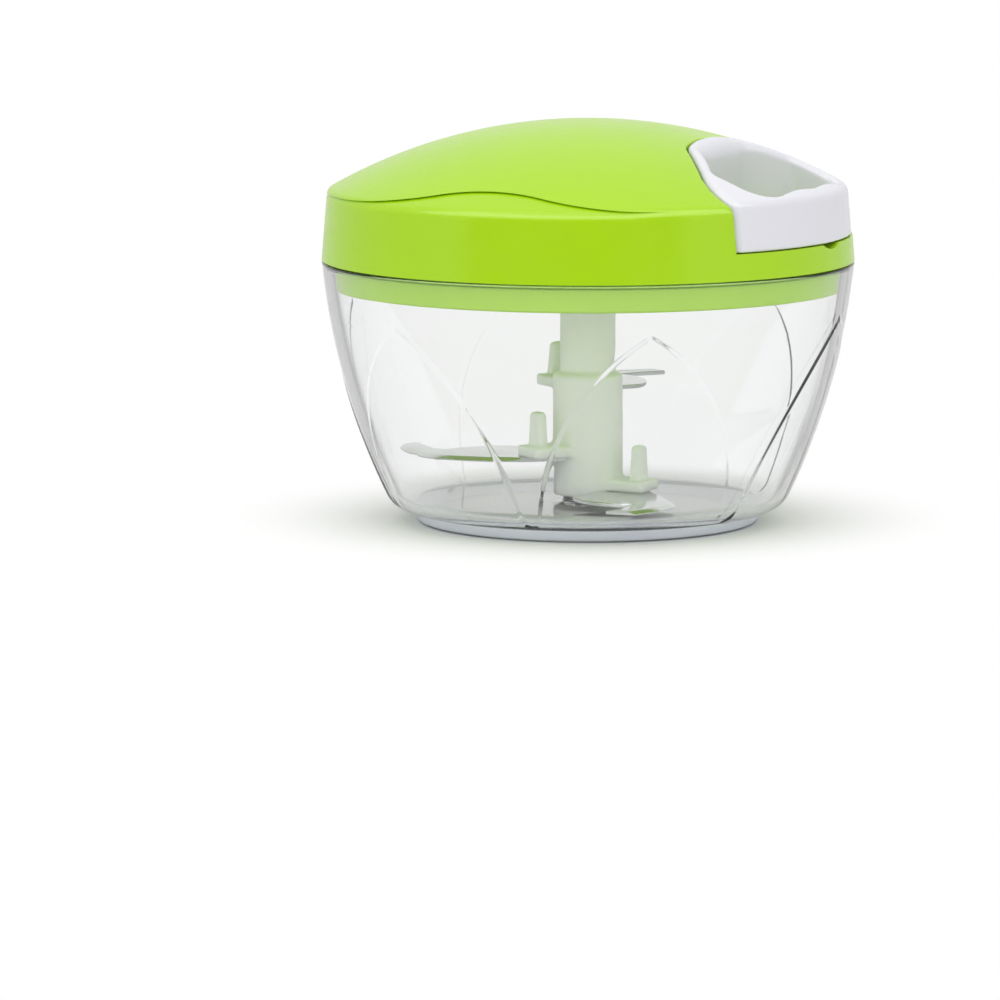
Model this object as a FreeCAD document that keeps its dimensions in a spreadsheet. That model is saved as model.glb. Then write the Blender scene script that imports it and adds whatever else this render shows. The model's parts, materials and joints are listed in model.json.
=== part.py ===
import FreeCAD, Part
import math
import os

import Sketcher

# Pull-string food chopper, in millimetres.
# The origin is the centre of the foot on the table, +Z is up, and +X is the way the handle is pulled.
# The lid is symmetric about the XZ plane. Angles are in degrees, counterclockwise from +X.

SIZES = {
    # Lid and bowl outline
    "lid_radius": (65.0, "outer radius of lid and bowl at the seam"),
    "seam_height": (64.0, "lower edge of the lid cover"),
    "seam_gap": (0.3, "dark line between cover and bowl rim"),
    "band_lean": (4.7, "lean of the cover's upright band"),
    "dome_radius": (127.4, "radius of the domed top"),
    "dome_rise": (34.0, "height of the dome's top above the seam"),
    "edge_round": (2.0, "rounding between band and dome"),
    "shoulder_round": (6.5, "larger rounding of the shoulder that shows in the crescents"),
    "skin_step": (0.7, "how far the domed skin stands above the shoulder"),
    "cover_wall": (2.2, "wall of the lid cover"),
    # Crease that sweeps over each side of the dome
    "crease_centre": (2.0, "place of its crest along X"),
    "crease_lift": (15.6, "height of the crease's tails above the seam"),
    "crease_rise": (5.3, "rise from tail to crest"),
    "crease_reach": (50.0, "half length from crest to tail"),
    "crest_round": (75.0, "radius of the crest"),
    "tail_drop": (1.0, "further fall of a tail out to the rim"),
    # Bowl
    "bowl_curve": (170.0, "radius of the wall's long curve"),
    "bowl_lean": (5.5, "lean of the wall at the rim"),
    "bowl_corner": (8.0, "radius between wall and floor"),
    "bowl_underside": (2.6, "height of the underside above the table"),
    "bowl_wall": (2.4, "wall and floor thickness"),
    "petal_count": (6.0, "arches round the bowl"),
    "petal_turn": (8.3, "direction of one arch"),
    "petal_half_width": (22.6, "half width of an arch at its foot"),
    "petal_spring": (12.0, "height where an arch starts to curve in"),
    "petal_margin": (12.5, "drop from the seam to an arch's tip"),
    "petal_relief": (0.6, "how far an arch stands out of the wall"),
    "boss_radius": (6.0, "boss round the pivot pin"),
    "boss_height": (1.2, "boss above the floor"),
    # Foot ring
    "foot_inset": (0.77, "how far the foot ring lies inside the floor's flat"),
    "foot_flare": (1.0, "growth of the foot towards the bowl"),
    "foot_width": (2.9, "width of the ring on the table"),
    "foot_key_width": (2.2, "width of the key in the bowl's groove"),
    "foot_key_depth": (1.1, "depth of that key"),
    # Pivot pin and bush
    "pin_radius": (2.0, "pivot pin"),
    "pin_top": (17.0, "height of the pin's tip"),
    "pin_flange_radius": (3.2, "flange moulded into the floor"),
    "pin_flange_height": (0.8, "thickness of that flange"),
    "bush_wall": (1.4, "wall of the bush"),
    "bush_length": (10.0, "length of the bush"),
    "running_fit": (0.08, "radial clearance where a shaft turns"),
    # Blade shaft
    "shaft_foot": (6.6, "height of the shaft's lower end"),
    "column_radius": (8.5, "lower column"),
    "neck_radius": (6.75, "upper column"),
    "neck_rise": (6.0, "height where the column narrows, above the upper blade"),
    "shaft_drop": (4.5, "drop from the seam to the shaft's upper end"),
    "socket_flats": (8.3, "across the flats of the drive socket"),
    "socket_depth": (10.5, "depth of the drive socket"),
    "arm_reach": (17.5, "outer end of a blade arm"),
    "arm_half_width": (5.0, "half width of a blade arm"),
    "arm_thickness": (2.6, "thickness of a blade arm"),
    "arm_corner": (1.2, "rounding of an arm's corners"),
    "ear_radius": (13.0, "inner face of an upright tab"),
    "ear_thickness": (2.4, "thickness of a tab"),
    "ear_foot_half": (3.3, "half width of a tab at its foot"),
    "ear_top_half": (2.4, "half width of a tab at its top"),
    "ear_height": (8.4, "height of the lower tabs above their arm"),
    "upper_ear_height": (8.0, "height of the upper tab above its arm"),
    # Blades
    "blade_thickness": (1.0, "sheet of the blades"),
    "lower_blade_height": (7.2, "underside of the lower blade"),
    "middle_blade_height": (15.4, "underside of the middle blade"),
    "upper_blade_height": (30.8, "underside of the upper blade"),
    "lower_blade_turn": (-3.5, "direction of the lower blade's root"),
    "middle_blade_turn": (-123.5, "direction of the middle blade's root"),
    "upper_blade_turn": (144.5, "direction of the upper blade's root"),
    "lower_blade_share": (0.93, "outline of the lower blade against the other two"),
    "blade_fit": (46.75, "inner radius of the wall at the lower blade that the outline is drawn for"),
    "root_radius": (5.6, "how deep the root sits in the column"),
    "root_half": (3.6, "half width of the root in the column"),
    "root_out": (16.5, "where the cutting edge leaves the root"),
    "knee_out": (35.0, "outermost part of the cutting edge"),
    "knee_back": (18.5, "how far that lies behind the root line"),
    "tip_out": (32.9, "outer corner of the tip, along the root line"),
    "tip_back": (36.5, "outer corner of the tip, behind the root line"),
    "tip_width": (6.8, "width of the tip"),
    "throat_out": (26.4, "inner corner behind the hook"),
    "throat_back": (24.0, "inner corner behind the root line"),
    "heel_out": (5.5, "rear corner of the root, along the root line"),
    "heel_back": (18.1, "rear corner of the root, behind the root line"),
    "edge_bow": (40.0, "radius of the front of the cutting edge"),
    "hook_bow": (38.0, "radius of the hook's outer edge"),
    "back_bow": (26.0, "radius of the hook's inner edge"),
    "heel_bow": (17.0, "radius of the root's rear edge"),
    "bevel_width": (1.6, "ground bevel of the cutting edge"),
    "bevel_depth": (0.6, "depth of that bevel"),
    # Lid base, its seal and screws
    "plug_inset": (5.0, "how far the plug lies inside the lid's radius"),
    "plug_depth": (7.0, "depth of the plug below the seam"),
    "plug_wall": (2.0, "wall of the plug"),
    "flange_clearance": (0.3, "gap round the base's flange and over the bowl's rim"),
    "flange_thickness": (2.0, "flange of the base"),
    "collar_radius": (7.6, "hole for the shaft's top"),
    "collar_wall": (2.0, "wall round that hole"),
    "collar_height": (1.4, "collar above the plate"),
    "seal_drop": (3.4, "drop from the seam to the lower face of the seal groove"),
    "seal_height": (2.4, "height of the seal ring"),
    "seal_depth": (1.4, "depth of the seal groove"),
    "seal_reach": (1.9, "reach of the seal's lip beyond the plug"),
    "rib_count": (6.0, "ribs on the base plate"),
    "rib_width": (1.6, "thickness of a rib"),
    "rib_height": (1.6, "height of a rib above the plate"),
    "screw_inset": (19.0, "how far the screws lie inside the lid's radius"),
    "front_screw_turn": (75.0, "direction of the front screws"),
    "rear_screw_turn": (145.0, "direction of the rear screws"),
    "screw_radius": (1.5, "shank of a screw"),
    "screw_head_radius": (3.0, "head of a screw"),
    "screw_head_height": (1.8, "height of a screw head"),
    "screw_length": (12.0, "shank of a lid screw"),
    "tower_wall": (1.4, "wall of a screw tower"),
    "tower_rise": (0.2, "top of the towers above the seam, where the bosses stand"),
    "screw_drop": (2.4, "drop from the seam to the step under a screw head"),
    "boss_wall": (2.5, "wall of a screw boss in the cover"),
    # Handle and its nest
    "nose_share": (0.4723, "inner end of the handle along X against the lid's radius"),
    "nose_bow": (1.5, "bow of that end"),
    "handle_half_width": (33.7, "half width of the handle"),
    "side_round": (14.9, "radius where a flank turns along X"),
    "side_straight": (10.2, "straight end of a flank at the rim"),
    "flank_slope": (53.8, "slope of the handle's flanks"),
    "nose_corner": (3.5, "rounding between nose and flank"),
    "handle_lift": (6.5, "underside of the handle above the seam"),
    "handle_edge": (2.6, "rounding of the handle's outer top edge"),
    "handle_inset": (0.3, "how far the handle's skin lies inside the lid's"),
    "nose_wall": (5.3, "wall between nose and finger hole"),
    "bar_width": (12.0, "width of the bar that the fingers hold"),
    "hole_shoulder": (12.4, "half width of the hole's inner wall"),
    "hole_half_width": (23.2, "half width of the finger hole"),
    "hole_side": (8.9, "length of the finger hole at its full width"),
    "hole_corner": (3.0, "rounding of the hole's corners"),
    "scoop_half_width": (9.4, "half width of the finger scoop at the middle of the bar"),
    "scoop_depth": (1.3, "depth of the scoop there"),
    "scoop_tilt": (8.0, "fall of the scoop outwards, less than the bar's own"),
    "nest_gap": (0.5, "gap round the handle"),
    "nest_floor_gap": (0.25, "gap under the handle"),
    "nest_wall": (2.0, "walls and floor of the nest"),
    "notch_half_width": (5.0, "half width of the fingertip notch"),
    "notch_depth": (1.2, "depth of the fingertip notch"),
    "notch_length": (6.0, "how far the notch runs in from the rim"),
    # Cord and its fittings
    "cord_radius": (0.9, "pull cord"),
    "cord_lift": (14.4, "height of the cord above the seam"),
    "cord_bend": (3.0, "radius of the cord's bend in the guide"),
    "knot_radius": (1.45, "knot at the handle's end"),
    "knot_seat_radius": (2.6, "seat of the knot in the handle"),
    "knot_wall": (1.2, "wall between the handle's nose and the knot"),
    "cap_thickness": (1.0, "cap that closes the knot's seat"),
    "guide_radius": (2.6, "eyelet in the nest wall"),
    "guide_flange": (3.6, "flange of the eyelet"),
    "guide_flange_thickness": (0.9, "thickness of that flange"),
    "guide_bore": (1.5, "bore of the eyelet"),
    # Reel, spring and post
    "post_radius": (4.0, "post that the reel turns on"),
    "post_lift": (5.6, "lower end of the post above the seam"),
    "flange_reach": (5.6, "reach of the reel's flanges beyond the drum"),
    "drum_wall": (2.2, "wall of the drum"),
    "reel_room": (2.6, "room between the reel's flanges and the nest wall"),
    "reel_lift": (8.0, "underside of the reel above the seam"),
    "reel_flange": (1.4, "thickness of a flange"),
    "drum_length": (10.0, "space between the flanges"),
    "hub_radius": (7.6, "tube under the reel that holds the driver"),
    "hub_bore": (5.65, "bore of that tube"),
    "hub_drop": (2.0, "drop from the seam to the tube's lower end"),
    "end_play": (0.3, "play between reel and washer"),
    "cover_lip": (1.5, "reach of the disc over the spring beyond the drum"),
    "reel_cover_thickness": (1.4, "thickness of that disc"),
    "spring_turns": (6.0, "turns of the return spring"),
    "spring_start": (5.2, "innermost radius of the spring"),
    "spring_strip": (0.5, "thickness of the spring strip"),
    "spring_clearance": (0.5, "space above and below the spring"),
    "winding_turns": (5.0, "turns of cord on the drum"),
    "washer_radius": (5.3, "washer under the post"),
    "washer_thickness": (1.0, "thickness of that washer"),
    "post_screw_length": (10.0, "shank of the post screw"),
    "dog_flats": (8.0, "across the flats of the driver"),
    "dog_length": (11.8, "length of the driver below the tube"),
    "dog_flange": (1.2, "thickness of the driver's flange"),
    "dog_plug": (3.6, "length of the driver inside the hub"),
    "static_gap": (0.02, "clearance of pieces pressed together"),
}

# Sizes that follow from the ones above, so that neighbours keep together when one of them changes
DERIVED = {
    "dome_top": "seam_height + dome_rise",
    "crease_low": "seam_height + crease_lift",
    "petal_tip": "seam_height - petal_margin",
    "rim_height": "seam_height - seam_gap",
    "curve_centre_r": "lid_radius - bowl_curve * cos(bowl_lean)",
    "curve_centre_z": "rim_height + bowl_curve * sin(bowl_lean)",
    "corner_drop": "curve_centre_z - bowl_underside - bowl_corner",
    "floor_radius": "curve_centre_r + sqrt((bowl_curve - bowl_corner) ^ 2 - corner_drop ^ 2)",
    "foot_radius": "floor_radius - foot_inset",
    "blade_drop": "curve_centre_z - lower_blade_height",
    "blade_room": "curve_centre_r + sqrt((bowl_curve - bowl_wall) ^ 2 - blade_drop ^ 2)",
    "neck_height": "upper_blade_height + neck_rise",
    "shaft_top": "seam_height - shaft_drop",
    "plug_radius": "lid_radius - plug_inset",
    "plug_foot": "seam_height - plug_depth",
    "seal_foot": "seam_height - seal_drop",
    "screw_circle": "lid_radius - screw_inset",
    "tower_height": "seam_height + tower_rise",
    "screw_seat": "seam_height - screw_drop",
    "handle_nose": "lid_radius * nose_share",
    "side_turn_end": "lid_radius - side_straight",
    "handle_bottom": "seam_height + handle_lift",
    "hole_inner": "handle_nose + nose_wall",
    "hole_outer": "lid_radius - bar_width",
    "hole_flank_out": "hole_outer - hole_side",
    "cord_height": "seam_height + cord_lift",
    "post_foot": "seam_height + post_lift",
    "reel_radius": "handle_nose - nest_gap - nest_wall - reel_room",
    "drum_radius": "reel_radius - flange_reach",
    "reel_cover_radius": "drum_radius + cover_lip",
    "reel_floor": "seam_height + reel_lift",
    "hub_foot": "seam_height - hub_drop",
    "dog_foot": "hub_foot - dog_length",
}

TABLE = 0.0
NEAR = 0.01


# Numbers that remember where they came from


class Size:
    """A number with the expression text that gives it from the sheet."""

    def __init__(self, value, text):
        self.value = value
        self.text = text

    def __add__(self, other):
        other = as_size(other)
        return Size(self.value + other.value, f"({self.text} + {other.text})")

    def __radd__(self, other):
        return as_size(other) + self

    def __sub__(self, other):
        other = as_size(other)
        return Size(self.value - other.value, f"({self.text} - {other.text})")

    def __rsub__(self, other):
        return as_size(other) - self

    def __mul__(self, other):
        other = as_size(other)
        return Size(self.value * other.value, f"({self.text} * {other.text})")

    def __rmul__(self, other):
        return as_size(other) * self

    def __truediv__(self, other):
        other = as_size(other)
        return Size(self.value / other.value, f"({self.text} / {other.text})")

    def __rtruediv__(self, other):
        return as_size(other) / self

    def __neg__(self):
        return 0.0 - self


def as_size(number):
    """Wraps a plain number so that it mixes with sheet sizes."""
    if isinstance(number, Size):
        return number
    return Size(float(number), f"{float(number):.9g}")


def sine(angle):
    """Sine of an angle in degrees."""
    angle = as_size(angle)
    return Size(math.sin(math.radians(angle.value)), f"sin({angle.text})")


def cosine(angle):
    """Cosine of an angle in degrees."""
    angle = as_size(angle)
    return Size(math.cos(math.radians(angle.value)), f"cos({angle.text})")


def tangent(angle):
    """Tangent of an angle in degrees."""
    return sine(angle) / cosine(angle)


def root(number):
    """Square root."""
    number = as_size(number)
    return Size(math.sqrt(number.value), f"sqrt({number.text})")


def hypotenuse(a, b):
    """Length of the vector (a, b)."""
    return root(a * a + b * b)


# Document and sheet

doc = FreeCAD.newDocument("chopper")
sheet = doc.addObject("Spreadsheet::Sheet", "sizes")
for row, (alias, (number, meaning)) in enumerate(SIZES.items(), start=1):
    sheet.set(f"A{row}", meaning)
    sheet.set(f"B{row}", f"{number:g}")
    sheet.setAlias(f"B{row}", alias)
for row, (alias, formula) in enumerate(DERIVED.items(), start=len(SIZES) + 1):
    sheet.set(f"B{row}", "=" + formula)
    sheet.setAlias(f"B{row}", alias)
doc.recompute()

PARTS = []


class Sheet:
    """Reads sheet cells as sizes, so that a.lid_radius is the cell of that alias."""

    def __getattr__(self, alias):
        return Size(float(sheet.get(alias)), f"sizes.{alias}")


a = Sheet()


# Helpers for sketches and features


def bind(thing, prop, size):
    """Ties one property of an object to the sheet."""
    thing.setExpression(prop, as_size(size).text)


def plane_of(body, role):
    """One of the body's own origin planes."""
    return [item for item in body.Origin.OriginFeatures if item.Role == role][0]


def new_body(name):
    """A body that holds one solid."""
    body = doc.addObject("PartDesign::Body", name)
    body.Label = name
    return body


def arc_between(start, end, radius, left):
    """Arc from start to end, with its centre to the left or the right of that direction."""
    middle = (start + end) * 0.5
    chord = end - start
    side = FreeCAD.Vector(-chord.y, chord.x, 0).normalize()
    if not left:
        side = side * -1
    depth = math.sqrt(max(radius**2 - (chord.Length / 2) ** 2, 0.0))
    centre = middle + side * depth
    via = centre + side * -radius
    return Part.Arc(start, via, end)


def sketch_on(body, name, role, offset=None, turn=None):
    """An empty sketch on an origin plane, turned about Z and then moved along its normal."""
    sketch = body.newObject("Sketcher::SketchObject", name)
    sketch.AttachmentSupport = [(plane_of(body, role), "")]
    sketch.MapMode = "FlatFace"
    if turn is not None:
        axis = FreeCAD.Vector(0, 0, 1) if role == "XY_Plane" else FreeCAD.Vector(0, 1, 0)
        sketch.AttachmentOffset = FreeCAD.Placement(FreeCAD.Vector(), FreeCAD.Rotation(axis, 1.0))
        bind(sketch, "AttachmentOffset.Rotation.Angle", turn)
    if offset is not None and role != "XY_Plane":
        bind(sketch, "AttachmentOffset.Base.x", offset * sine(turn))
        bind(sketch, "AttachmentOffset.Base.z", offset * cosine(turn))
    elif offset is not None:
        bind(sketch, "AttachmentOffset.Base.z", offset)
    return sketch


def fix_point(sketch, edge, end, x, y):
    """Holds one end of an edge at a place given by the sheet."""
    for kind, size in (("DistanceX", x), ("DistanceY", y)):
        size = as_size(size)
        row = sketch.addConstraint(Sketcher.Constraint(kind, -1, 1, edge, end, size.value))
        sketch.setExpression(f"Constraints[{row}]", size.text)


def closed_outline(sketch, steps):
    """Draws a closed outline.

    Each step is (x, y) for a corner that a straight edge leaves, or (x, y, radius, left) for one
    that an arc leaves, with the arc's centre to the left or the right of the way round.
    """
    corners = [FreeCAD.Vector(as_size(s[0]).value, as_size(s[1]).value, 0) for s in steps]
    count = len(steps)
    for i, step in enumerate(steps):
        start = corners[i]
        end = corners[(i + 1) % count]
        if len(step) == 2:
            sketch.addGeometry(Part.LineSegment(start, end))
        else:
            circle = arc_between(start, end, as_size(step[2]).value, step[3])
            sketch.addGeometry(circle)
    starts = [1] * count
    for i in range(count):
        if len(steps[i]) == 4:
            nearest = sketch.getPoint(i, 1).distanceToPoint(corners[i])
            starts[i] = 1 if nearest < sketch.getPoint(i, 2).distanceToPoint(corners[i]) else 2
    for i in range(count):
        after = (i + 1) % count
        sketch.addConstraint(
            Sketcher.Constraint("Coincident", i, 3 - starts[i], after, starts[after])
        )
    for i, step in enumerate(steps):
        fix_point(sketch, i, starts[i], step[0], step[1])
        if len(step) == 4:
            size = as_size(step[2])
            row = sketch.addConstraint(Sketcher.Constraint("Radius", i, size.value))
            sketch.setExpression(f"Constraints[{row}]", size.text)


def spin(body, name, steps, cut=False):
    """Revolves a profile of (radius, height) corners about Z, or cuts with it."""
    sketch = sketch_on(body, name + "_profile", "XZ_Plane")
    closed_outline(sketch, steps)
    kind = "PartDesign::Groove" if cut else "PartDesign::Revolution"
    feature = body.newObject(kind, name)
    feature.Profile = sketch
    feature.ReferenceAxis = (sketch, ["V_Axis"])
    feature.Angle = 360.0
    doc.recompute()
    return feature


def pad(body, name, sketch, length, symmetric=False, back=False):
    """Extrudes a sketch along its normal, or against it."""
    feature = body.newObject("PartDesign::Pad", name)
    feature.Profile = sketch
    if symmetric:
        feature.SideType = "Symmetric"
    feature.Reversed = back
    bind(feature, "Length", length)
    doc.recompute()
    return feature


def pocket(body, name, sketch, length, symmetric=False, back=False):
    """Cuts a sketch into the body and makes sure that it took something away."""
    before = body.Shape.Volume
    feature = body.newObject("PartDesign::Pocket", name)
    feature.Profile = sketch
    if symmetric:
        feature.SideType = "Symmetric"
    feature.Reversed = back
    bind(feature, "Length", length)
    doc.recompute()
    if not body.Shape.Volume < before:
        raise RuntimeError(f"{body.Label}: {name} cut nothing")
    return feature


def around(body, name, features, count):
    """Repeats features evenly about Z."""
    pattern = body.newObject("PartDesign::PolarPattern", name)
    pattern.Originals = features
    pattern.Axis = (plane_axis(body), [""])
    pattern.Angle = 360.0
    bind(pattern, "Occurrences", count)
    body.Tip = pattern
    doc.recompute()
    return pattern


def plane_axis(body):
    """The body's own Z axis."""
    return [item for item in body.Origin.OriginFeatures if item.Role == "Z_Axis"][0]


def edges_where(shape, test):
    """Names of the edges whose points all pass a test."""
    names = []
    for number, edge in enumerate(shape.Edges, start=1):
        points = edge.discretize(5)
        if all(test(point) for point in points):
            names.append(f"Edge{number}")
    return names


def round_edges(body, name, test, radius):
    """Fillets the edges that pass a test."""
    base = body.Tip
    names = edges_where(base.Shape, test)
    if not names:
        raise RuntimeError(f"{body.Label}: {name} found no edge")
    feature = body.newObject("PartDesign::Fillet", name)
    feature.Base = (base, names)
    bind(feature, "Radius", radius)
    doc.recompute()
    return feature


def join(name, shapes):
    """Boolean union."""
    union = doc.addObject("Part::MultiFuse", name)
    union.Shapes = shapes
    union.Refine = True
    doc.recompute()
    return union


def cut(name, base, tool):
    """Boolean difference."""
    result = doc.addObject("Part::Cut", name)
    result.Base = base
    result.Tool = tool
    result.Refine = True
    doc.recompute()
    return result


def rod(name, radius, foot, top, x=0.0, y=0.0):
    """Upright cylinder between two heights."""
    thing = doc.addObject("Part::Cylinder", name)
    bind(thing, "Radius", radius)
    bind(thing, "Height", as_size(top) - foot)
    bind(thing, "Placement.Base.x", x)
    bind(thing, "Placement.Base.y", y)
    bind(thing, "Placement.Base.z", foot)
    return thing


def rod_along_x(name, radius, start, end, z, y=0.0):
    """Level cylinder along X between two places."""
    thing = doc.addObject("Part::Cylinder", name)
    thing.Placement = FreeCAD.Placement(
        FreeCAD.Vector(), FreeCAD.Rotation(FreeCAD.Vector(0, 1, 0), 90)
    )
    bind(thing, "Radius", radius)
    bind(thing, "Height", as_size(end) - start)
    bind(thing, "Placement.Base.x", start)
    bind(thing, "Placement.Base.y", y)
    bind(thing, "Placement.Base.z", z)
    return thing


def part(thing, name):
    """Names a finished piece, which becomes one file."""
    thing.Label = name
    PARTS.append(thing)
    return thing


# Outlines that several pieces share

DOME_CENTRE = a.dome_top - a.dome_radius


def dome_corners(inset, rounding, lowered):
    """Where the leaning band, the rounding and the dome of the lid meet.

    The band is moved in by inset and the dome is lowered by the same measure plus lowered. The
    rounding touches both, which gives a quadratic for the height of its centre.
    """
    lean = tangent(a.band_lean)
    reach = a.dome_radius - inset - lowered
    inner = reach - rounding
    start = a.lid_radius - (inset + rounding) / cosine(a.band_lean)
    leaned = start + lean * (a.seam_height - DOME_CENTRE)
    square = 1.0 + lean * lean
    rise = (leaned * lean + root(inner * inner * square - leaned * leaned)) / square
    radius = leaned - lean * rise
    height = DOME_CENTRE + rise
    on_band = (radius + rounding * cosine(a.band_lean), height + rounding * sine(a.band_lean))
    on_dome = (radius * reach / inner, DOME_CENTRE + rise * reach / inner)
    return on_band, on_dome, reach


def lid_profile(inset, rounding, lowered, foot):
    """Half section of the lid: band, rounding and dome down to a flat foot."""
    on_band, on_dome, reach = dome_corners(inset, rounding, lowered)
    lean = tangent(a.band_lean)
    band_foot = a.lid_radius - inset / cosine(a.band_lean) + lean * (a.seam_height - foot)
    return [
        (0.0, foot),
        (band_foot, foot),
        (on_band[0], on_band[1], rounding, True),
        (on_dome[0], on_dome[1], reach, True),
        (0.0, DOME_CENTRE + reach),
    ]


def bowl_corners(inset):
    """Where the rim, the long curve, the corner and the floor of the bowl meet."""
    curve = a.bowl_curve - inset
    inner = a.bowl_curve - a.bowl_corner
    floor = (a.floor_radius, a.bowl_underside + inset)
    low = (
        a.curve_centre_r + (a.floor_radius - a.curve_centre_r) * curve / inner,
        a.curve_centre_z - a.corner_drop * curve / inner,
    )
    rise = a.curve_centre_z - a.rim_height
    top = (a.curve_centre_r + root(curve * curve - rise * rise), a.rim_height)
    return floor, low, top


def handle_outline(outset, run_out):
    """Plan of the handle, grown by outset: bowed nose, sloping flanks, then straight out along X."""
    slope = a.flank_slope
    turn = a.side_round + outset
    centre_y = a.handle_half_width - a.side_round
    corner_x = a.handle_nose + a.nose_bow - outset
    flank_x = a.side_turn_end - turn * sine(slope)
    flank_y = centre_y + turn * cosine(slope)
    corner_y = flank_y - (flank_x - corner_x) * tangent(slope)
    side_y = centre_y + turn
    nose_radius = (corner_y * corner_y + a.nose_bow * a.nose_bow) / (2.0 * a.nose_bow)
    return [
        (corner_x, corner_y, nose_radius, True),
        (corner_x, -corner_y),
        (flank_x, -flank_y, turn, True),
        (a.side_turn_end, -side_y),
        (run_out, -side_y),
        (run_out, side_y),
        (a.side_turn_end, side_y, turn, True),
        (flank_x, flank_y),
    ]


# Bowl


def make_bowl():
    """Clear bowl: curved wall, six raised petal arches, floor boss and grooves for pin and foot."""
    body = new_body("bowl")
    floor, low, top = bowl_corners(0.0)
    wall_curve = a.bowl_curve
    spin(
        body,
        "bowl_form",
        [
            (0.0, a.bowl_underside),
            (floor[0], floor[1], a.bowl_corner, True),
            (low[0], low[1], wall_curve, True),
            top,
            (0.0, top[1]),
        ],
    )
    width = a.petal_half_width
    rise = a.petal_tip - a.petal_spring
    arch = (width * width + rise * rise) / (2.0 * width)
    sketch = sketch_on(body, "petal_arch", "YZ_Plane", turn=a.petal_turn)
    closed_outline(
        sketch,
        [
            (-width, a.bowl_underside),
            (width, a.bowl_underside),
            (width, a.petal_spring, arch, True),
            (0.0, a.petal_tip, arch, True),
            (-width, a.petal_spring),
        ],
    )
    petal = pad(body, "petal", sketch, a.lid_radius + a.bowl_corner)
    around(body, "petals", [petal], a.petal_count)
    floor, low, top = bowl_corners(-a.petal_relief)
    beyond = a.lid_radius + 2.0 * a.bowl_corner
    spin(
        body,
        "petal_faces",
        [
            (floor[0], floor[1], a.bowl_corner + a.petal_relief, True),
            (low[0], low[1], wall_curve + a.petal_relief, True),
            top,
            (beyond, top[1]),
            (beyond, floor[1]),
        ],
        cut=True,
    )
    floor, low, top = bowl_corners(a.bowl_wall)
    spin(
        body,
        "hollow",
        [
            (0.0, floor[1]),
            (floor[0], floor[1], a.bowl_corner - a.bowl_wall, True),
            (low[0], low[1], wall_curve - a.bowl_wall, True),
            top,
            (0.0, top[1]),
        ],
        cut=True,
    )
    boss_top = floor[1] + a.boss_height
    spin(
        body,
        "pin_boss",
        [
            (0.0, a.bowl_underside),
            (a.boss_radius, a.bowl_underside),
            (a.boss_radius, boss_top),
            (0.0, boss_top),
        ],
    )
    pin_r = a.pin_radius + a.static_gap
    flange_r = a.pin_flange_radius + a.static_gap
    flange_foot = pin_foot() - a.static_gap
    flange_top = pin_foot() + a.pin_flange_height + a.static_gap
    spin(
        body,
        "pin_seat",
        [
            (0.0, flange_foot),
            (flange_r, flange_foot),
            (flange_r, flange_top),
            (pin_r, flange_top),
            (pin_r, boss_top),
            (0.0, boss_top),
        ],
        cut=True,
    )
    inner, outer, depth = foot_key(a.static_gap)
    spin(
        body,
        "foot_groove",
        [
            (inner, a.bowl_underside),
            (outer, a.bowl_underside),
            (outer, depth),
            (inner, depth),
        ],
        cut=True,
    )
    return part(body, "bowl")


def pin_foot():
    """Height of the pin's lower end inside the floor."""
    return a.bowl_underside + a.bowl_wall / 3.0


def foot_key(gap):
    """Inner and outer radius and top of the key that holds the foot ring, grown by gap."""
    outer = a.foot_radius + gap
    inner = a.foot_radius - a.foot_key_width - gap
    return inner, outer, a.bowl_underside + a.foot_key_depth + gap


def make_foot_ring():
    """Soft ring that the bowl stands on, keyed into a groove of the underside."""
    body = new_body("foot_ring")
    inner, outer, key_top = foot_key(0.0)
    spin(
        body,
        "ring",
        [
            (a.foot_radius - a.foot_width, TABLE),
            (a.foot_radius, TABLE),
            (a.foot_radius + a.foot_flare, a.bowl_underside),
            (outer, a.bowl_underside),
            (outer, key_top),
            (inner, key_top),
            (inner, a.bowl_underside),
            (a.foot_radius - a.foot_width, a.bowl_underside),
        ],
    )
    return part(body, "foot_ring")


def make_pivot_pin():
    """Steel pin with a moulded-in flange and a rounded tip."""
    body = new_body("pivot_pin")
    foot = pin_foot()
    flange_top = foot + a.pin_flange_height
    half = a.pin_radius / 2.0
    spin(
        body,
        "pin",
        [
            (0.0, foot),
            (a.pin_flange_radius, foot),
            (a.pin_flange_radius, flange_top),
            (a.pin_radius, flange_top),
            (a.pin_radius, a.pin_top - half, half, True),
            (a.pin_radius - half, a.pin_top),
            (0.0, a.pin_top),
        ],
    )
    return part(body, "pivot_pin")


# Blade assembly


def bush_bore():
    """Bore of the bush, which runs on the pin."""
    return a.pin_radius + a.running_fit


def make_shaft_bush():
    """Sleeve pressed into the shaft's foot."""
    body = new_body("shaft_bush")
    inner = bush_bore()
    outer = inner + a.bush_wall
    foot = a.shaft_foot
    top = foot + a.bush_length
    spin(body, "sleeve", [(inner, foot), (outer, foot), (outer, top), (inner, top)])
    return part(body, "shaft_bush")


def blade_outline(share):
    """Plan of a blade, root along +X and hook trailing towards -Y, with its outer part scaled."""
    share = share * a.blade_room / a.blade_fit
    tip_x = a.tip_out * share
    tip_y = -(a.tip_back * share)
    return [
        (a.root_radius, -a.root_half),
        (a.root_radius, a.root_half),
        (a.root_out, a.root_half / 4.0, a.edge_bow, False),
        (a.knee_out * share, -(a.knee_back * share), a.hook_bow, False),
        (tip_x, tip_y),
        (tip_x - a.tip_width, tip_y - a.tip_width / 4.0, a.back_bow, True),
        (a.throat_out * share, -(a.throat_back * share), a.heel_bow, False),
        (a.heel_out, -a.heel_back),
    ]


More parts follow.
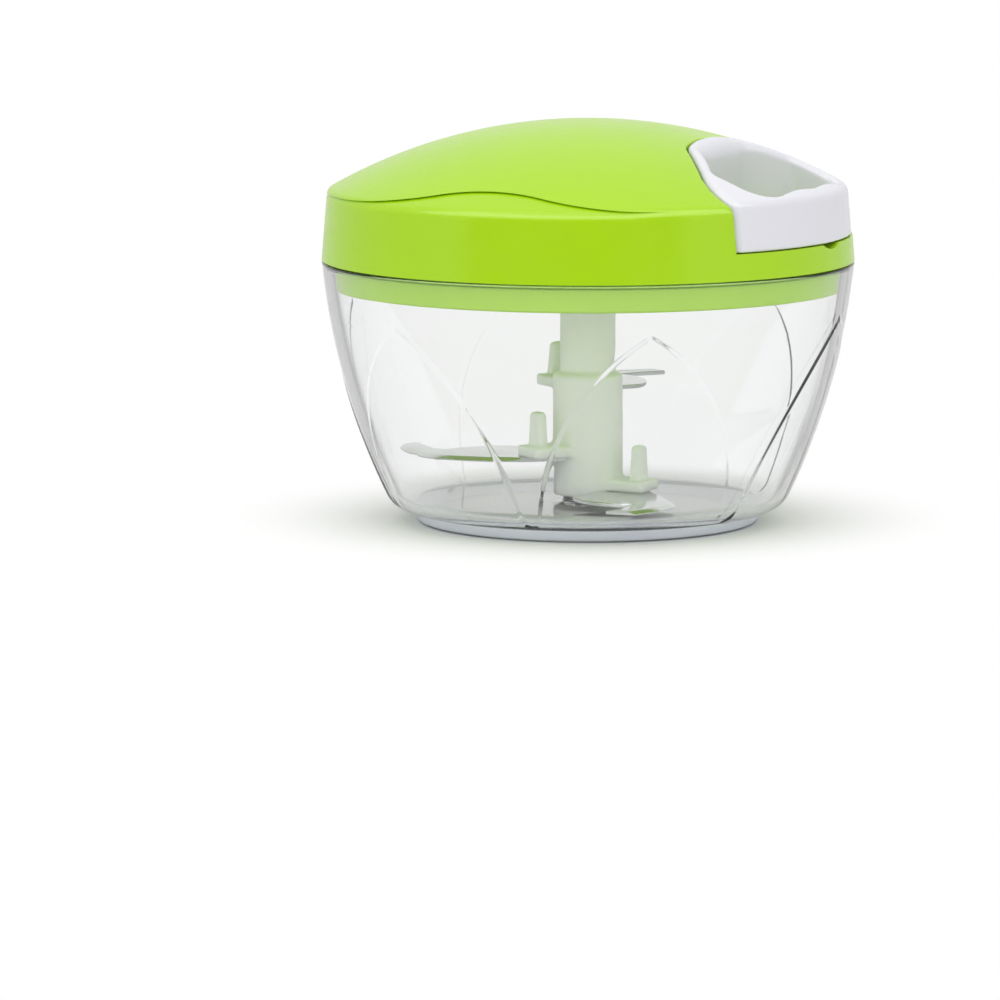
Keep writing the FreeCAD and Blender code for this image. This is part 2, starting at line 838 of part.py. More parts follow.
def make_blade(name, height, turn, share):
    """One stamped blade with a ground bevel along its cutting edge."""
    body = new_body(name)
    sketch = sketch_on(body, name + "_plan", "XY_Plane", offset=height, turn=turn)
    closed_outline(sketch, blade_outline(share))
    pad(body, name + "_sheet", sketch, a.blade_thickness)
    top = (height + a.blade_thickness).value
    outline = blade_outline(share)
    start_x, start_y = (as_size(number).value for number in outline[2][:2])
    tip_x, tip_y = (as_size(number).value for number in outline[4][:2])
    along_x, along_y = tip_x - start_x, tip_y - start_y
    angle = math.radians(turn.value)

    def cutting_edge(point):
        x = point.x * math.cos(angle) + point.y * math.sin(angle) - start_x
        y = point.y * math.cos(angle) - point.x * math.sin(angle) - start_y
        return abs(point.z - top) < NEAR and along_x * y - along_y * x > -NEAR * abs(along_y)

    base = body.Tip
    bevel = body.newObject("PartDesign::Chamfer", name + "_bevel")
    bevel.Base = (base, edges_where(base.Shape, cutting_edge))
    bevel.ChamferType = "Two distances"
    bevel.FlipDirection = True
    bind(bevel, "Size", a.bevel_width)
    bind(bevel, "Size2", a.bevel_depth)
    doc.recompute()
    return part(body, name)


def make_blade_shaft(blades):
    """Column with a bored foot, a six-sided drive socket, three arms and their upright tabs."""
    body = new_body("shaft_form")
    bore = bush_bore() + a.bush_wall + a.static_gap
    bore_top = a.pin_top + a.end_play
    step = a.column_radius - a.neck_radius
    spin(
        body,
        "column",
        [
            (bore, a.shaft_foot),
            (a.column_radius, a.shaft_foot),
            (a.column_radius, a.neck_height - step, step, True),
            (a.neck_radius, a.neck_height),
            (a.neck_radius, a.shaft_top),
            (0.0, a.shaft_top),
            (0.0, bore_top),
            (bore, bore_top),
        ],
    )
    levels = (
        ("lower", a.lower_blade_height, a.lower_blade_turn, a.ear_height),
        ("middle", a.middle_blade_height, a.middle_blade_turn, a.ear_height),
        ("upper", a.upper_blade_height, a.upper_blade_turn, a.upper_ear_height),
    )
    for name, height, turn, ear_height in levels:
        foot = height + a.blade_thickness
        sketch = sketch_on(body, name + "_arm_plan", "XY_Plane", offset=foot, turn=turn)
        inner = a.root_radius
        outer = a.arm_reach
        half = a.arm_half_width
        corner = a.arm_corner
        closed_outline(
            sketch,
            [
                (inner, -half),
                (outer - corner, -half, corner, True),
                (outer, corner - half),
                (outer, half - corner, corner, True),
                (outer - corner, half),
                (inner, half),
            ],
        )
        pad(body, name + "_arm", sketch, a.arm_thickness)
        sketch = sketch_on(body, name + "_ear_shape", "YZ_Plane", offset=a.ear_radius, turn=turn)
        seat = foot + a.arm_thickness / 2.0
        top = foot + a.arm_thickness + ear_height
        tip = a.ear_top_half
        closed_outline(
            sketch,
            [
                (-a.ear_foot_half, seat),
                (a.ear_foot_half, seat),
                (tip, top - tip, tip, True),
                (0.0, top, tip, True),
                (-tip, top - tip),
            ],
        )
        pad(body, name + "_ear", sketch, a.ear_thickness)
    sketch = sketch_on(body, "socket_plan", "XY_Plane", offset=a.shaft_top)
    closed_outline(sketch, hexagon(a.socket_flats))
    pocket(body, "socket", sketch, a.socket_depth)
    tools = join("blade_roots", blades)
    return part(cut("blade_shaft", body, tools), "blade_shaft")


def hexagon(flats):
    """Corners of a hexagon, given across its flats."""
    radius = flats / (2.0 * cosine(30.0))
    return [(radius * cosine(60.0 * i), radius * sine(60.0 * i)) for i in range(6)]


# Lid base


def screw_places():
    """Places of the four lid screws."""
    places = []
    for turn in (a.front_screw_turn, a.rear_screw_turn):
        for side in (1.0, -1.0):
            places.append((a.screw_circle * cosine(turn), side * a.screw_circle * sine(turn)))
    return places


def plate_top():
    """Upper face of the base plate."""
    return a.plug_foot + a.plug_wall


def make_lid_base():
    """Plug with its plate, seal groove, flange, collar, ribs and screw towers."""
    body = new_body("base_form")
    plug = a.plug_radius
    groove = plug - a.seal_depth
    flange_foot = a.seam_height + a.flange_clearance
    flange_top = flange_foot + a.flange_thickness
    flange = a.lid_radius - a.cover_wall / cosine(a.band_lean) - a.flange_clearance
    flange = flange - tangent(a.band_lean) * (flange_top - a.seam_height)
    collar = a.collar_radius
    collar_top = plate_top() + a.collar_height
    chamfer = a.plug_wall / 3.0
    seal_top = a.seal_foot + a.seal_height
    spin(
        body,
        "plug",
        [
            (collar, a.plug_foot),
            (plug - chamfer, a.plug_foot),
            (plug, a.plug_foot + chamfer),
            (plug, a.seal_foot),
            (groove, a.seal_foot),
            (groove, seal_top),
            (plug, seal_top),
            (plug, flange_foot),
            (flange, flange_foot),
            (flange, flange_top),
            (groove - a.plug_wall, flange_top),
            (groove - a.plug_wall, plate_top()),
            (collar + a.collar_wall, plate_top()),
            (collar + a.collar_wall, collar_top),
            (collar, collar_top),
        ],
    )
    half = a.rib_width / 2.0
    sketch = sketch_on(body, "rib_plan", "XY_Plane", offset=plate_top())
    inner = collar + a.collar_wall / 2.0
    outer = plug - a.seal_depth - a.plug_wall / 2.0
    closed_outline(sketch, [(inner, -half), (outer, -half), (outer, half), (inner, half)])
    rib = pad(body, "rib", sketch, a.rib_height)
    around(body, "ribs", [rib], a.rib_count)
    bore = a.screw_head_radius + a.flange_clearance
    towers = [body]
    wells = []
    for i, (x, y) in enumerate(screw_places()):
        tower = rod(f"tower_{i}", bore + a.tower_wall, a.plug_foot, a.tower_height, x, y)
        towers.append(tower)
        wells.append(rod(f"well_{i}", bore, a.plug_foot, a.screw_seat, x, y))
        shank = a.screw_radius + a.static_gap
        wells.append(rod(f"shank_hole_{i}", shank, a.plug_foot, a.tower_height, x, y))
    solid = join("base_with_towers", towers)
    return part(cut("lid_base", solid, join("screw_wells", wells)), "lid_base")


def make_seal_ring():
    """Ring in the plug's groove, with a lip towards the bowl."""
    body = new_body("seal_ring")
    inner = a.plug_radius - a.seal_depth
    lip = a.plug_radius + a.seal_reach
    foot = a.seal_foot
    top = foot + a.seal_height
    third = a.seal_height / 3.0
    spin(
        body,
        "seal",
        [
            (inner, foot),
            (a.plug_radius, foot),
            (lip, foot + third),
            (lip, top - third),
            (a.plug_radius, top),
            (inner, top),
        ],
    )
    return part(body, "seal_ring")


def make_lid_screws():
    """Four round-headed screws that come up through the base."""
    pieces = []
    for i, (x, y) in enumerate(screw_places()):
        seat = a.screw_seat
        head = rod(f"head_{i}", a.screw_head_radius, seat - a.screw_head_height, seat, x, y)
        shank = rod(f"shank_{i}", a.screw_radius, seat, seat + a.screw_length, x, y)
        pieces += [head, shank]
    return part(join("lid_screws", pieces), "lid_screws")


# Lid cover


def make_cover_outside():
    """Outer form of the cover: full dome, crescents cut away, then the lower shoulder put back."""
    body = new_body("cover_outside")
    spin(body, "domed_skin", lid_profile(0.0, a.edge_round, 0.0, a.seam_height))
    shoulder_band, _, _ = dome_corners(0.0, a.shoulder_round, a.skin_step)
    low = a.crease_low
    rise = a.crease_rise
    reach = a.crease_reach
    # Crest and tails are arcs that meet tangent, so half their angle has the slope rise over reach
    both = (rise * rise + reach * reach) / (2.0 * rise)
    turn_sine = reach / both
    turn_cosine = 1.0 - rise / both
    tail = both - a.crest_round
    meet = a.crest_round * turn_sine
    meet_height = low + tail * (1.0 - turn_cosine)
    centre = a.crease_centre
    foot = shoulder_band[1]
    outer = a.lid_radius + reach / 10.0
    sketch = sketch_on(body, "crescent_shape", "XZ_Plane")
    closed_outline(
        sketch,
        [
            (-outer, foot),
            (outer, foot),
            (outer, low - a.tail_drop),
            (centre + reach, low, tail, False),
            (centre + meet, meet_height, a.crest_round, True),
            (centre - meet, meet_height, tail, False),
            (centre - reach, low),
            (-outer, low - a.tail_drop),
        ],
    )
    pocket(body, "crescents", sketch, 4.0 * a.lid_radius, symmetric=True)
    spin(body, "shoulder", lid_profile(0.0, a.shoulder_round, a.skin_step, a.seam_height))
    return body


def nest_floor():
    """Top of the ledge under the handle."""
    return a.handle_bottom - a.nest_floor_gap


def make_nest_block():
    """Walls and floor of the handle's nest as one block, before its pocket is cut."""
    body = new_body("nest_block")
    foot = nest_floor() - a.nest_wall
    sketch = sketch_on(body, "nest_block_plan", "XY_Plane", offset=foot)
    closed_outline(sketch, handle_outline(a.nest_gap + a.nest_wall, 2.0 * a.lid_radius))
    pad(body, "nest_block_pad", sketch, a.dome_top - foot)
    return body


def make_nest_space():
    """Space of the handle with its gap, open outwards and upwards."""
    body = new_body("nest_space")
    sketch = sketch_on(body, "nest_plan", "XY_Plane", offset=nest_floor())
    closed_outline(sketch, handle_outline(a.nest_gap, 2.0 * a.lid_radius))
    pad(body, "nest_pad", sketch, a.dome_top - nest_floor())
    gap_corner = a.nose_corner + a.nest_gap
    round_edges(body, "nest_corners", nose_edge, gap_corner)
    return body


def nose_edge(point):
    """True on the upright edges where the nose meets the flanks."""
    near_nose = point.x < (a.handle_nose + a.nose_bow + a.nest_gap).value
    return near_nose and abs(point.y) > a.nose_corner.value


def make_lid_cover():
    """Moulded cover: skin, hollow, nest, post and screw bosses."""
    outside = make_cover_outside()
    cavity = new_body("cover_cavity")
    inside_round = a.shoulder_round - a.cover_wall
    below = a.seam_height - a.cover_wall
    spin(cavity, "cavity", lid_profile(a.cover_wall, inside_round, a.skin_step, below))
    kept = [make_nest_block(), rod("post", a.post_radius, a.post_foot, a.dome_top)]
    boss = a.screw_radius + a.boss_wall
    for i, (x, y) in enumerate(screw_places()):
        kept.append(rod(f"boss_{i}", boss, a.tower_height, a.dome_top, x, y))
    hollow = cut("cover_hollow", cavity, join("inside_features", kept))
    shell = cut("cover_shell", outside, hollow)
    taken = [make_nest_space()]
    guide = a.guide_radius + a.static_gap
    nose = a.handle_nose
    taken.append(rod_along_x("guide_hole", guide, nose - 2.0 * a.nest_wall, nose, a.cord_height))
    notch = (a.notch_half_width * a.notch_half_width + a.notch_depth * a.notch_depth) / (
        2.0 * a.notch_depth
    )
    notch_z = nest_floor() + notch - a.notch_depth
    start = a.lid_radius - a.notch_length
    taken.append(rod_along_x("notch", notch, start, a.lid_radius + a.notch_length, notch_z))
    shank = a.screw_radius + a.static_gap
    for i, (x, y) in enumerate(screw_places()):
        depth = a.screw_seat + a.screw_length + a.flange_clearance
        taken.append(rod(f"boss_hole_{i}", shank, a.seam_height, depth, x, y))
    screw_top = a.post_foot + a.post_screw_length
    taken.append(rod("post_hole", shank, a.post_foot, screw_top))
    slot = doc.addObject("Part::Box", "spring_slot")
    bind(slot, "Length", a.post_radius)
    bind(slot, "Width", a.spring_strip + 2.0 * a.static_gap)
    bind(slot, "Height", spring_top() - spring_foot() + 2.0 * a.spring_clearance)
    bind(slot, "Placement.Base.x", -(2.0 * a.post_radius - hook_depth()))
    bind(slot, "Placement.Base.y", -(a.spring_strip + a.static_gap))
    bind(slot, "Placement.Base.z", spring_foot() - a.spring_clearance)
    taken.append(slot)
    return part(cut("lid_cover", shell, join("cover_cuts", taken)), "lid_cover")


# Handle


def make_pull_handle():
    """Grip that fills the nest: domed top, finger hole, finger scoop and seat for the knot."""
    body = new_body("handle_form")
    outer = a.lid_radius + a.handle_edge
    sketch = sketch_on(body, "handle_plan", "XY_Plane", offset=a.handle_bottom)
    closed_outline(sketch, handle_outline(0.0, outer))
    pad(body, "handle_block", sketch, a.dome_top - a.handle_bottom)
    round_edges(body, "nose_corners", nose_edge, a.nose_corner)
    on_band, on_dome, reach = dome_corners(a.handle_inset, a.handle_edge, 0.0)
    lean = tangent(a.band_lean)
    foot = a.handle_bottom
    band = a.lid_radius - a.handle_inset / cosine(a.band_lean) - lean * (foot - a.seam_height)
    beyond = 2.0 * a.lid_radius
    peak = DOME_CENTRE + reach
    spin(
        body,
        "domed_top",
        [
            (band, foot),
            (on_band[0], on_band[1], a.handle_edge, True),
            (on_dome[0], on_dome[1], reach, True),
            (0.0, peak),
            (0.0, a.dome_top + 1.0),
            (beyond, a.dome_top + 1.0),
            (beyond, foot),
        ],
        cut=True,
    )
    sketch = sketch_on(body, "finger_hole_plan", "XY_Plane", offset=a.handle_bottom)
    closed_outline(
        sketch,
        [
            (a.hole_inner, -a.hole_shoulder),
            (a.hole_flank_out, -a.hole_half_width),
            (a.hole_outer, -a.hole_half_width),
            (a.hole_outer, a.hole_half_width),
            (a.hole_flank_out, a.hole_half_width),
            (a.hole_inner, a.hole_shoulder),
        ],
    )
    pocket(body, "finger_hole", sketch, a.dome_top - a.handle_bottom, back=True)

    def hole_edge(point):
        inside = a.hole_inner.value - NEAR < point.x < a.hole_outer.value + NEAR
        wide = a.hole_shoulder.value - NEAR < abs(point.y) < a.hole_half_width.value + NEAR
        corners = (
            (a.hole_inner.value, a.hole_shoulder.value),
            (a.hole_flank_out.value, a.hole_half_width.value),
            (a.hole_outer.value, a.hole_half_width.value),
        )
        near = any(
            math.hypot(point.x - x, abs(point.y) - y) < NEAR for x, y in corners
        )
        return inside and wide and near

    round_edges(body, "hole_corners", hole_edge, a.hole_corner)
    scoop = doc.addObject("Part::Cylinder", "finger_scoop")
    radius = (a.scoop_half_width * a.scoop_half_width + a.scoop_depth * a.scoop_depth) / (
        2.0 * a.scoop_depth
    )
    middle = (a.hole_outer + a.lid_radius) / 2.0
    bar_top = DOME_CENTRE + root(reach * reach - middle * middle)
    length = 2.0 * (a.lid_radius - a.hole_outer)
    rise = radius - a.scoop_depth
    scoop.Placement = FreeCAD.Placement(
        FreeCAD.Vector(), FreeCAD.Rotation(FreeCAD.Vector(0, 1, 0), 90)
    )
    bind(scoop, "Placement.Rotation.Angle", 90.0 + a.scoop_tilt)
    bind(scoop, "Radius", radius)
    bind(scoop, "Height", length)
    half = length / 2.0
    bind(
        scoop,
        "Placement.Base.x",
        middle + rise * sine(a.scoop_tilt) - half * cosine(a.scoop_tilt),
    )
    bind(
        scoop,
        "Placement.Base.z",
        bar_top + rise * cosine(a.scoop_tilt) + half * sine(a.scoop_tilt),
    )
    nose = a.handle_nose
    seat = nose + a.knot_wall
    bore = rod_along_x(
        "handle_cord_hole", a.cord_radius + a.static_gap, nose - a.nest_gap, seat, a.cord_height
    )
    knot = rod_along_x(
        "knot_seat", a.knot_seat_radius, seat, a.hole_inner + a.cap_thickness, a.cord_height
    )
    return part(cut("pull_handle", body, join("handle_cuts", [scoop, bore, knot])), "pull_handle")


def make_cord_anchor():
    """Cap that closes the knot's seat, flush with the wall of the finger hole."""
    radius = a.knot_seat_radius - a.static_gap
    start = a.hole_inner - a.cap_thickness
    return part(rod_along_x("cord_anchor", radius, start, a.hole_inner, a.cord_height), "cord_anchor")


# Cord


def cord_line():
    """Radius of the cord's centre line on the drum."""
    return a.drum_radius + a.cord_radius + a.static_gap


def guide_inner():
    """Inner face of the nest wall, where the eyelet's flange lies."""
    return a.handle_nose - a.nest_gap - a.nest_wall


def cord_route():
    """Points of the cord in plan: where it leaves the drum, the ends of its bend, and the knot."""
    line = cord_line()
    corner = guide_inner()
    off_x = line * line / corner
    off_y = -(line * root(corner * corner - line * line) / corner)
    run = hypotenuse(corner - off_x, off_y)
    cos_turn = (corner - off_x) / run
    sin_turn = -off_y / run
    back = a.cord_bend * sin_turn / (1.0 + cos_turn)
    bend_in = (corner - back * cos_turn, -(back * sin_turn))
    bend_out = (corner + back, as_size(0.0))
    half_cos = root((1.0 + cos_turn) / 2.0)
    half_sin = root((1.0 - cos_turn) / 2.0)
    middle = (
        bend_out[0] - a.cord_bend * half_sin,
        -(a.cord_bend * (1.0 - half_cos)),
    )
    knot = (a.handle_nose + a.knot_wall + a.knot_radius, as_size(0.0))
    return (off_x, off_y), bend_in, middle, bend_out, knot


def make_cord_lead():
    """Free end of the cord: off the drum, round the eyelet and straight to the knot."""
    leave, bend_in, middle, bend_out, knot = [
        FreeCAD.Vector(x.value, y.value, a.cord_height.value) for x, y in cord_route()
    ]
    path = Part.Wire(
        [
            Part.makeLine(leave, bend_in),
            Part.Arc(bend_in, middle, bend_out).toShape(),
            Part.makeLine(bend_out, knot),
        ]
    )
    section = Part.Wire(Part.makeCircle(a.cord_radius.value, leave, bend_in - leave))
    tube = path.makePipeShell([section], True, False)
    ball = Part.makeSphere(a.knot_radius.value, knot)
    lead = doc.addObject("Part::Feature", "cord_lead")
    lead.Shape = tube.fuse(ball)
    return part(lead, "cord_lead")


def drum_foot():
    """Upper face of the reel's lower flange."""
    return a.reel_floor + a.reel_flange


def make_cord_winding():
    """Cord wound on the drum in one layer, with the channel where its free end leaves."""
    pitch = 2.0 * a.cord_radius
    height = a.winding_turns * pitch
    middle = drum_foot() + a.drum_length / 2.0
    foot = middle - height / 2.0
    inner = a.drum_radius + a.static_gap
    outer = inner + pitch
    ring = cut(
        "winding_ring",
        rod("winding_outside", outer, foot, foot + height),
        rod("winding_inside", inner, foot, foot + height),
    )
    leave, bend_in = cord_route()[:2]
    channel = doc.addObject("Part::Cylinder", "winding_channel")
    direction = math.degrees(
        math.atan2(bend_in[1].value - leave[1].value, bend_in[0].value - leave[0].value)
    )
    channel.Placement = FreeCAD.Placement(
        FreeCAD.Vector(leave[0].value, leave[1].value, a.cord_height.value),
        FreeCAD.Rotation(FreeCAD.Vector(0, 0, 1), direction)
        * FreeCAD.Rotation(FreeCAD.Vector(0, 1, 0), 90),
    )
    bind(channel, "Radius", a.cord_radius + a.running_fit)
    bind(channel, "Height", a.drum_radius)
    return part(cut("cord_winding", ring, channel), "cord_winding")


def make_cord_guide():
    """Flanged eyelet with a flared mouth, pressed into the nest wall."""
    body = new_body("cord_guide")
    end = a.handle_nose - a.nest_gap
    inner = guide_inner()
    start = inner - a.guide_flange_thickness
    flare = (a.guide_flange - a.guide_bore) / 2.0
    sketch = sketch_on(body, "guide_profile", "XZ_Plane")
    level = a.cord_height
    closed_outline(
        sketch,
        [
            (start, level + a.guide_bore + flare, flare, False),
            (start + flare, level + a.guide_bore),
            (end, level + a.guide_bore),
            (end, level + a.guide_radius),
            (inner, level + a.guide_radius),
            (inner, level + a.guide_flange),
            (start, level + a.guide_flange),
        ],
    )
    line = sketch.addGeometry(
        Part.LineSegment(
            FreeCAD.Vector(start.value, level.value, 0), FreeCAD.Vector(end.value, level.value, 0)
        ),
        True,
    )
    fix_point(sketch, line, 1, start, level)
    fix_point(sketch, line, 2, end, level)
    feature = body.newObject("PartDesign::Revolution", "guide")
    feature.Profile = sketch
    feature.ReferenceAxis = (sketch, ["Axis0"])
    feature.Angle = 360.0
    doc.recompute()
    return part(body, "cord_guide")


# Reel


def reel_top():
    """Upper face of the reel's upper flange."""
    return drum_foot() + a.drum_length + a.reel_flange


def spring_foot():
    """Lower edge of the spring strip."""
    return drum_foot() + a.reel_flange / 2.0 + a.spring_clearance


def spring_top():
    """Upper edge of the spring strip."""
    return reel_top() - a.reel_flange - a.spring_clearance


def hook_depth():
    """How deep the spring's inner hook reaches into the post."""
    return a.post_radius - a.screw_radius - a.spring_strip


def make_cord_reel():
    """Reel: driver tube, two flanges, drum and the cup for the spring."""
    body = new_body("reel_form")
    bearing = a.post_radius + a.running_fit
    shoulder = a.post_foot + a.end_play
    cup = a.drum_radius - a.drum_wall
    cup_floor = drum_foot() + a.reel_flange / 2.0
    drum_top = drum_foot() + a.drum_length
    spin(
        body,
        "reel_section",
        [
            (a.hub_bore, a.hub_foot),
            (a.hub_radius, a.hub_foot),
            (a.hub_radius, a.reel_floor),
            (a.reel_radius, a.reel_floor),
            (a.reel_radius, drum_foot()),
            (a.drum_radius, drum_foot()),
            (a.drum_radius, drum_top),
            (a.reel_radius, drum_top),
            (a.reel_radius, reel_top()),
            (cup, reel_top()),
            (cup, cup_floor),
            (bearing, cup_floor),
            (bearing, shoulder),
            (a.hub_bore, shoulder),
        ],
    )
    slot = doc.addObject("Part::Box", "hook_slot")
    bind(slot, "Length", a.drum_wall + a.spring_strip)
    bind(slot, "Width", a.spring_strip + 2.0 * a.static_gap)
    bind(slot, "Height", spring_top() - spring_foot() + a.spring_clearance)
    bind(slot, "Placement.Base.x", cup - a.spring_strip)
    bind(slot, "Placement.Base.y", -(a.spring_strip + a.static_gap))
    bind(slot, "Placement.Base.z", spring_foot() - a.spring_clearance / 2.0)
    return part(cut("cord_reel", body, slot), "cord_reel")


def make_reel_cover():
    """Disc that snaps into the cup and bears on the post."""
    body = new_body("reel_cover")
    bearing = a.post_radius + a.running_fit
    cup = a.drum_radius - a.drum_wall - a.static_gap
    top = reel_top() + a.reel_cover_thickness
    plug_foot = reel_top() - a.reel_flange / 2.0
    collar = a.post_radius + a.collar_wall
    spin(
        body,
        "disc",
        [
            (bearing, plug_foot),
            (cup, plug_foot),
            (cup, reel_top()),
            (a.reel_cover_radius, reel_top()),
            (a.reel_cover_radius, top),
            (collar, top),
            (collar, top + a.reel_flange / 2.0),
            (bearing, top + a.reel_flange / 2.0),
        ],
    )
    return part(body, "reel_cover")


def make_spiral_spring():
    """Flat spiral of half turns, hooked into the post inside and into the drum outside."""
    strip = a.spring_strip.value
    turns = int(round(a.spring_turns.value))
    start = a.spring_start.value
    cup = (a.drum_radius - a.drum_wall).value
    growth = (cup - strip - 2.0 * a.spring_clearance.value - start) / (2 * turns)
    inner = []
    outer = []
    radius = start
    centre = 0.0
    side = -1.0
    for half_turn in range(2 * turns + 1):
        middle = FreeCAD.Vector(centre, 0, 0)
        begin = middle + FreeCAD.Vector(side * radius, 0, 0)
        for edges, size in ((inner, radius), (outer, radius + strip)):
            first = middle + FreeCAD.Vector(side * size, 0, 0)
            top = middle + FreeCAD.Vector(0, -side * size, 0)
            last = middle - FreeCAD.Vector(side * size, 0, 0)
            edges.append(Part.Arc(first, top, last).toShape())
        end = middle - FreeCAD.Vector(side * radius, 0, 0)
        if half_turn == 0:
            inner_start = begin
        radius += growth
        centre = end.x + side * radius
        side = -side
    hook_in = FreeCAD.Vector(-(a.post_radius.value - hook_depth().value), 0, 0)
    outer_start = inner_start - FreeCAD.Vector(strip, 0, 0)
    width = FreeCAD.Vector(0, -strip, 0)
    inner_end = end
    outer_end = end + FreeCAD.Vector(strip, 0, 0)
    hook_out = FreeCAD.Vector(a.drum_radius.value - strip, 0, 0)
    edges = [
        Part.makeLine(hook_in, inner_start),
        *inner,
        Part.makeLine(inner_end, inner_end + width),
        Part.makeLine(inner_end + width, hook_out + width),
        Part.makeLine(hook_out + width, hook_out),
        Part.makeLine(hook_out, outer_end),
        *outer,
        Part.makeLine(outer_start, outer_start + width),
        Part.makeLine(outer_start + width, hook_in + width),
        Part.makeLine(hook_in + width, hook_in),
    ]
    face = Part.Face(Part.Wire(Part.__sortEdges__(edges)))
    face.translate(FreeCAD.Vector(0, 0, spring_foot().value))
    spring = doc.addObject("Part::Feature", "spiral_spring")
    spring.Shape = face.extrude(FreeCAD.Vector(0, 0, (spring_top() - spring_foot()).value))
    return part(spring, "spiral_spring")


def make_reel_washer():
    """Washer that carries the reel."""
    foot = a.post_foot - a.washer_thickness
    disc = rod("washer_disc", a.washer_radius, foot, a.post_foot)
    hole = rod("washer_hole", a.screw_radius + a.static_gap, foot, a.post_foot)
    return part(cut("reel_washer", disc, hole), "reel_washer")


def make_post_screw():
    """Screw that holds the washer against the post."""
    body = new_body("post_screw")
    seat = a.post_foot - a.washer_thickness
    foot = seat - a.screw_head_height
    half = a.screw_head_height / 2.0
    tip = seat + a.post_screw_length
    spin(
        body,
        "screw",
        [
            (0.0, foot),
            (a.screw_head_radius - half, foot, half, True),
            (a.screw_head_radius, foot + half),
            (a.screw_head_radius, seat),
            (a.screw_radius, seat),
            (a.screw_radius, tip - a.screw_radius),
            (0.0, tip),
        ],
    )
    return part(body, "post_screw")


def make_drive_dog():
    """Driver: plug in the reel's tube, flange and the hexagon that enters the shaft."""
    body = new_body("drive_dog")
    flange_foot = a.hub_foot - a.dog_flange
    plug = a.hub_bore - a.static_gap
    plug_top = a.hub_foot + a.dog_plug
    spin(
        body,
        "plug",
        [
            (0.0, flange_foot),
            (a.hub_radius, flange_foot),
            (a.hub_radius, a.hub_foot),
            (plug, a.hub_foot),
            (plug, plug_top),
            (0.0, plug_top),
        ],
    )
    sketch = sketch_on(body, "dog_plan", "XY_Plane", offset=flange_foot)
    closed_outline(sketch, hexagon(a.dog_flats))
    pad(body, "hexagon", sketch, flange_foot - a.dog_foot, back=True)
    return part(body, "drive_dog")


# All pieces, in the order of assembly


def main():
    make_bowl()
    make_foot_ring()
    make_pivot_pin()
    make_shaft_bush()
    blades = [
        make_blade("lower_blade", a.lower_blade_height, a.lower_blade_turn, a.lower_blade_share),
        make_blade("middle_blade", a.middle_blade_height, a.middle_blade_turn, as_size(1.0)),
        make_blade("upper_blade", a.upper_blade_height, a.upper_blade_turn, as_size(1.0)),
    ]
    make_blade_shaft(blades)
    make_lid_base()
    make_seal_ring()
    make_lid_screws()
    make_lid_cover()
    make_cord_guide()
    make_cord_reel()
    make_cord_winding()
    make_spiral_spring()
    make_reel_cover()
    make_reel_washer()
    make_post_screw()
    make_drive_dog()
    make_pull_handle()
    make_cord_anchor()
    make_cord_lead()
    doc.recompute()
    check_and_write()


def check_and_write():
    """Stops on any failed object or bad solid, then writes one file for each piece."""
    for thing in doc.Objects:
        if "Invalid" in thing.State or "Error" in thing.State:
            raise RuntimeError(f"{thing.Name} failed: {thing.State}")
    for piece in PARTS:
        shape = piece.Shape
        if shape.isNull() or not shape.isValid() or not shape.Solids:
            raise RuntimeError(f"{piece.Label} has no valid solid")
    os.makedirs("parts", exist_ok=True)
    for piece in PARTS:
        shape = piece.Shape
        shape.exportStep(f"parts/{piece.Label}.step")
        box = shape.BoundBox
        size = f"{box.XLength:.1f} x {box.YLength:.1f} x {box.ZLength:.1f} mm"
        print(f"{piece.Label}: {len(shape.Solids)} solid(s), {size}, {shape.Volume:.0f} mm3")


main()
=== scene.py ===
import json
import logging
import math
from dataclasses import dataclass
from enum import Enum
from typing import Callable, Dict, List, Optional, Sequence, Tuple

import bmesh
import bpy
import numpy as np
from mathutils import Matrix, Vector


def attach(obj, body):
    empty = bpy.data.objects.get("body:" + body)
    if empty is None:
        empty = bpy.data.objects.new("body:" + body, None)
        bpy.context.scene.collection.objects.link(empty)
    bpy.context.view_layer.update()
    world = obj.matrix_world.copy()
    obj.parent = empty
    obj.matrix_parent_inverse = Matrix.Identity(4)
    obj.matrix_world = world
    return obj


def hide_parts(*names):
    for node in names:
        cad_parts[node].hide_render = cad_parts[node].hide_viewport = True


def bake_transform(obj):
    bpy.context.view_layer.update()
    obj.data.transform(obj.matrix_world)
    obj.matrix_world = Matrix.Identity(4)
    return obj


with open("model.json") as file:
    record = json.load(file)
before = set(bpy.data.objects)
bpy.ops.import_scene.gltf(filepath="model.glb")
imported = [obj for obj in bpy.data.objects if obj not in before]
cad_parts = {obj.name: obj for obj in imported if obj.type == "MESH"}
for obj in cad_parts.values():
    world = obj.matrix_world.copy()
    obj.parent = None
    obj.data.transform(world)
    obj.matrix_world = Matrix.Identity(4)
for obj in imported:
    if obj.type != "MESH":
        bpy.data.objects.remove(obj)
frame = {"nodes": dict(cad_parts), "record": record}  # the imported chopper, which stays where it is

# Hand-pulled food chopper. Sizes are in millimetres, in the frame of the CAD model: Z up, X the way
# the handle is pulled, origin at the middle of the foot. Meshes are put into metres when they are made.

Array = np.ndarray
Colour = Tuple[float, float, float]
Pair = Tuple[float, float]
Field = Callable[[Array, Array, Array], Array]

MILLIMETRE = 0.001
WELD = 1e-6
LOG = logging.getLogger("chopper")


# Helpers for shapes


def smooth_step(value: Array) -> Array:
    """Rises from 0 to 1 over that range, level at both ends: 3 t squared minus 2 t cubed."""
    t = np.clip(value, 0.0, 1.0)
    return t * t * (3.0 - 2.0 * t)


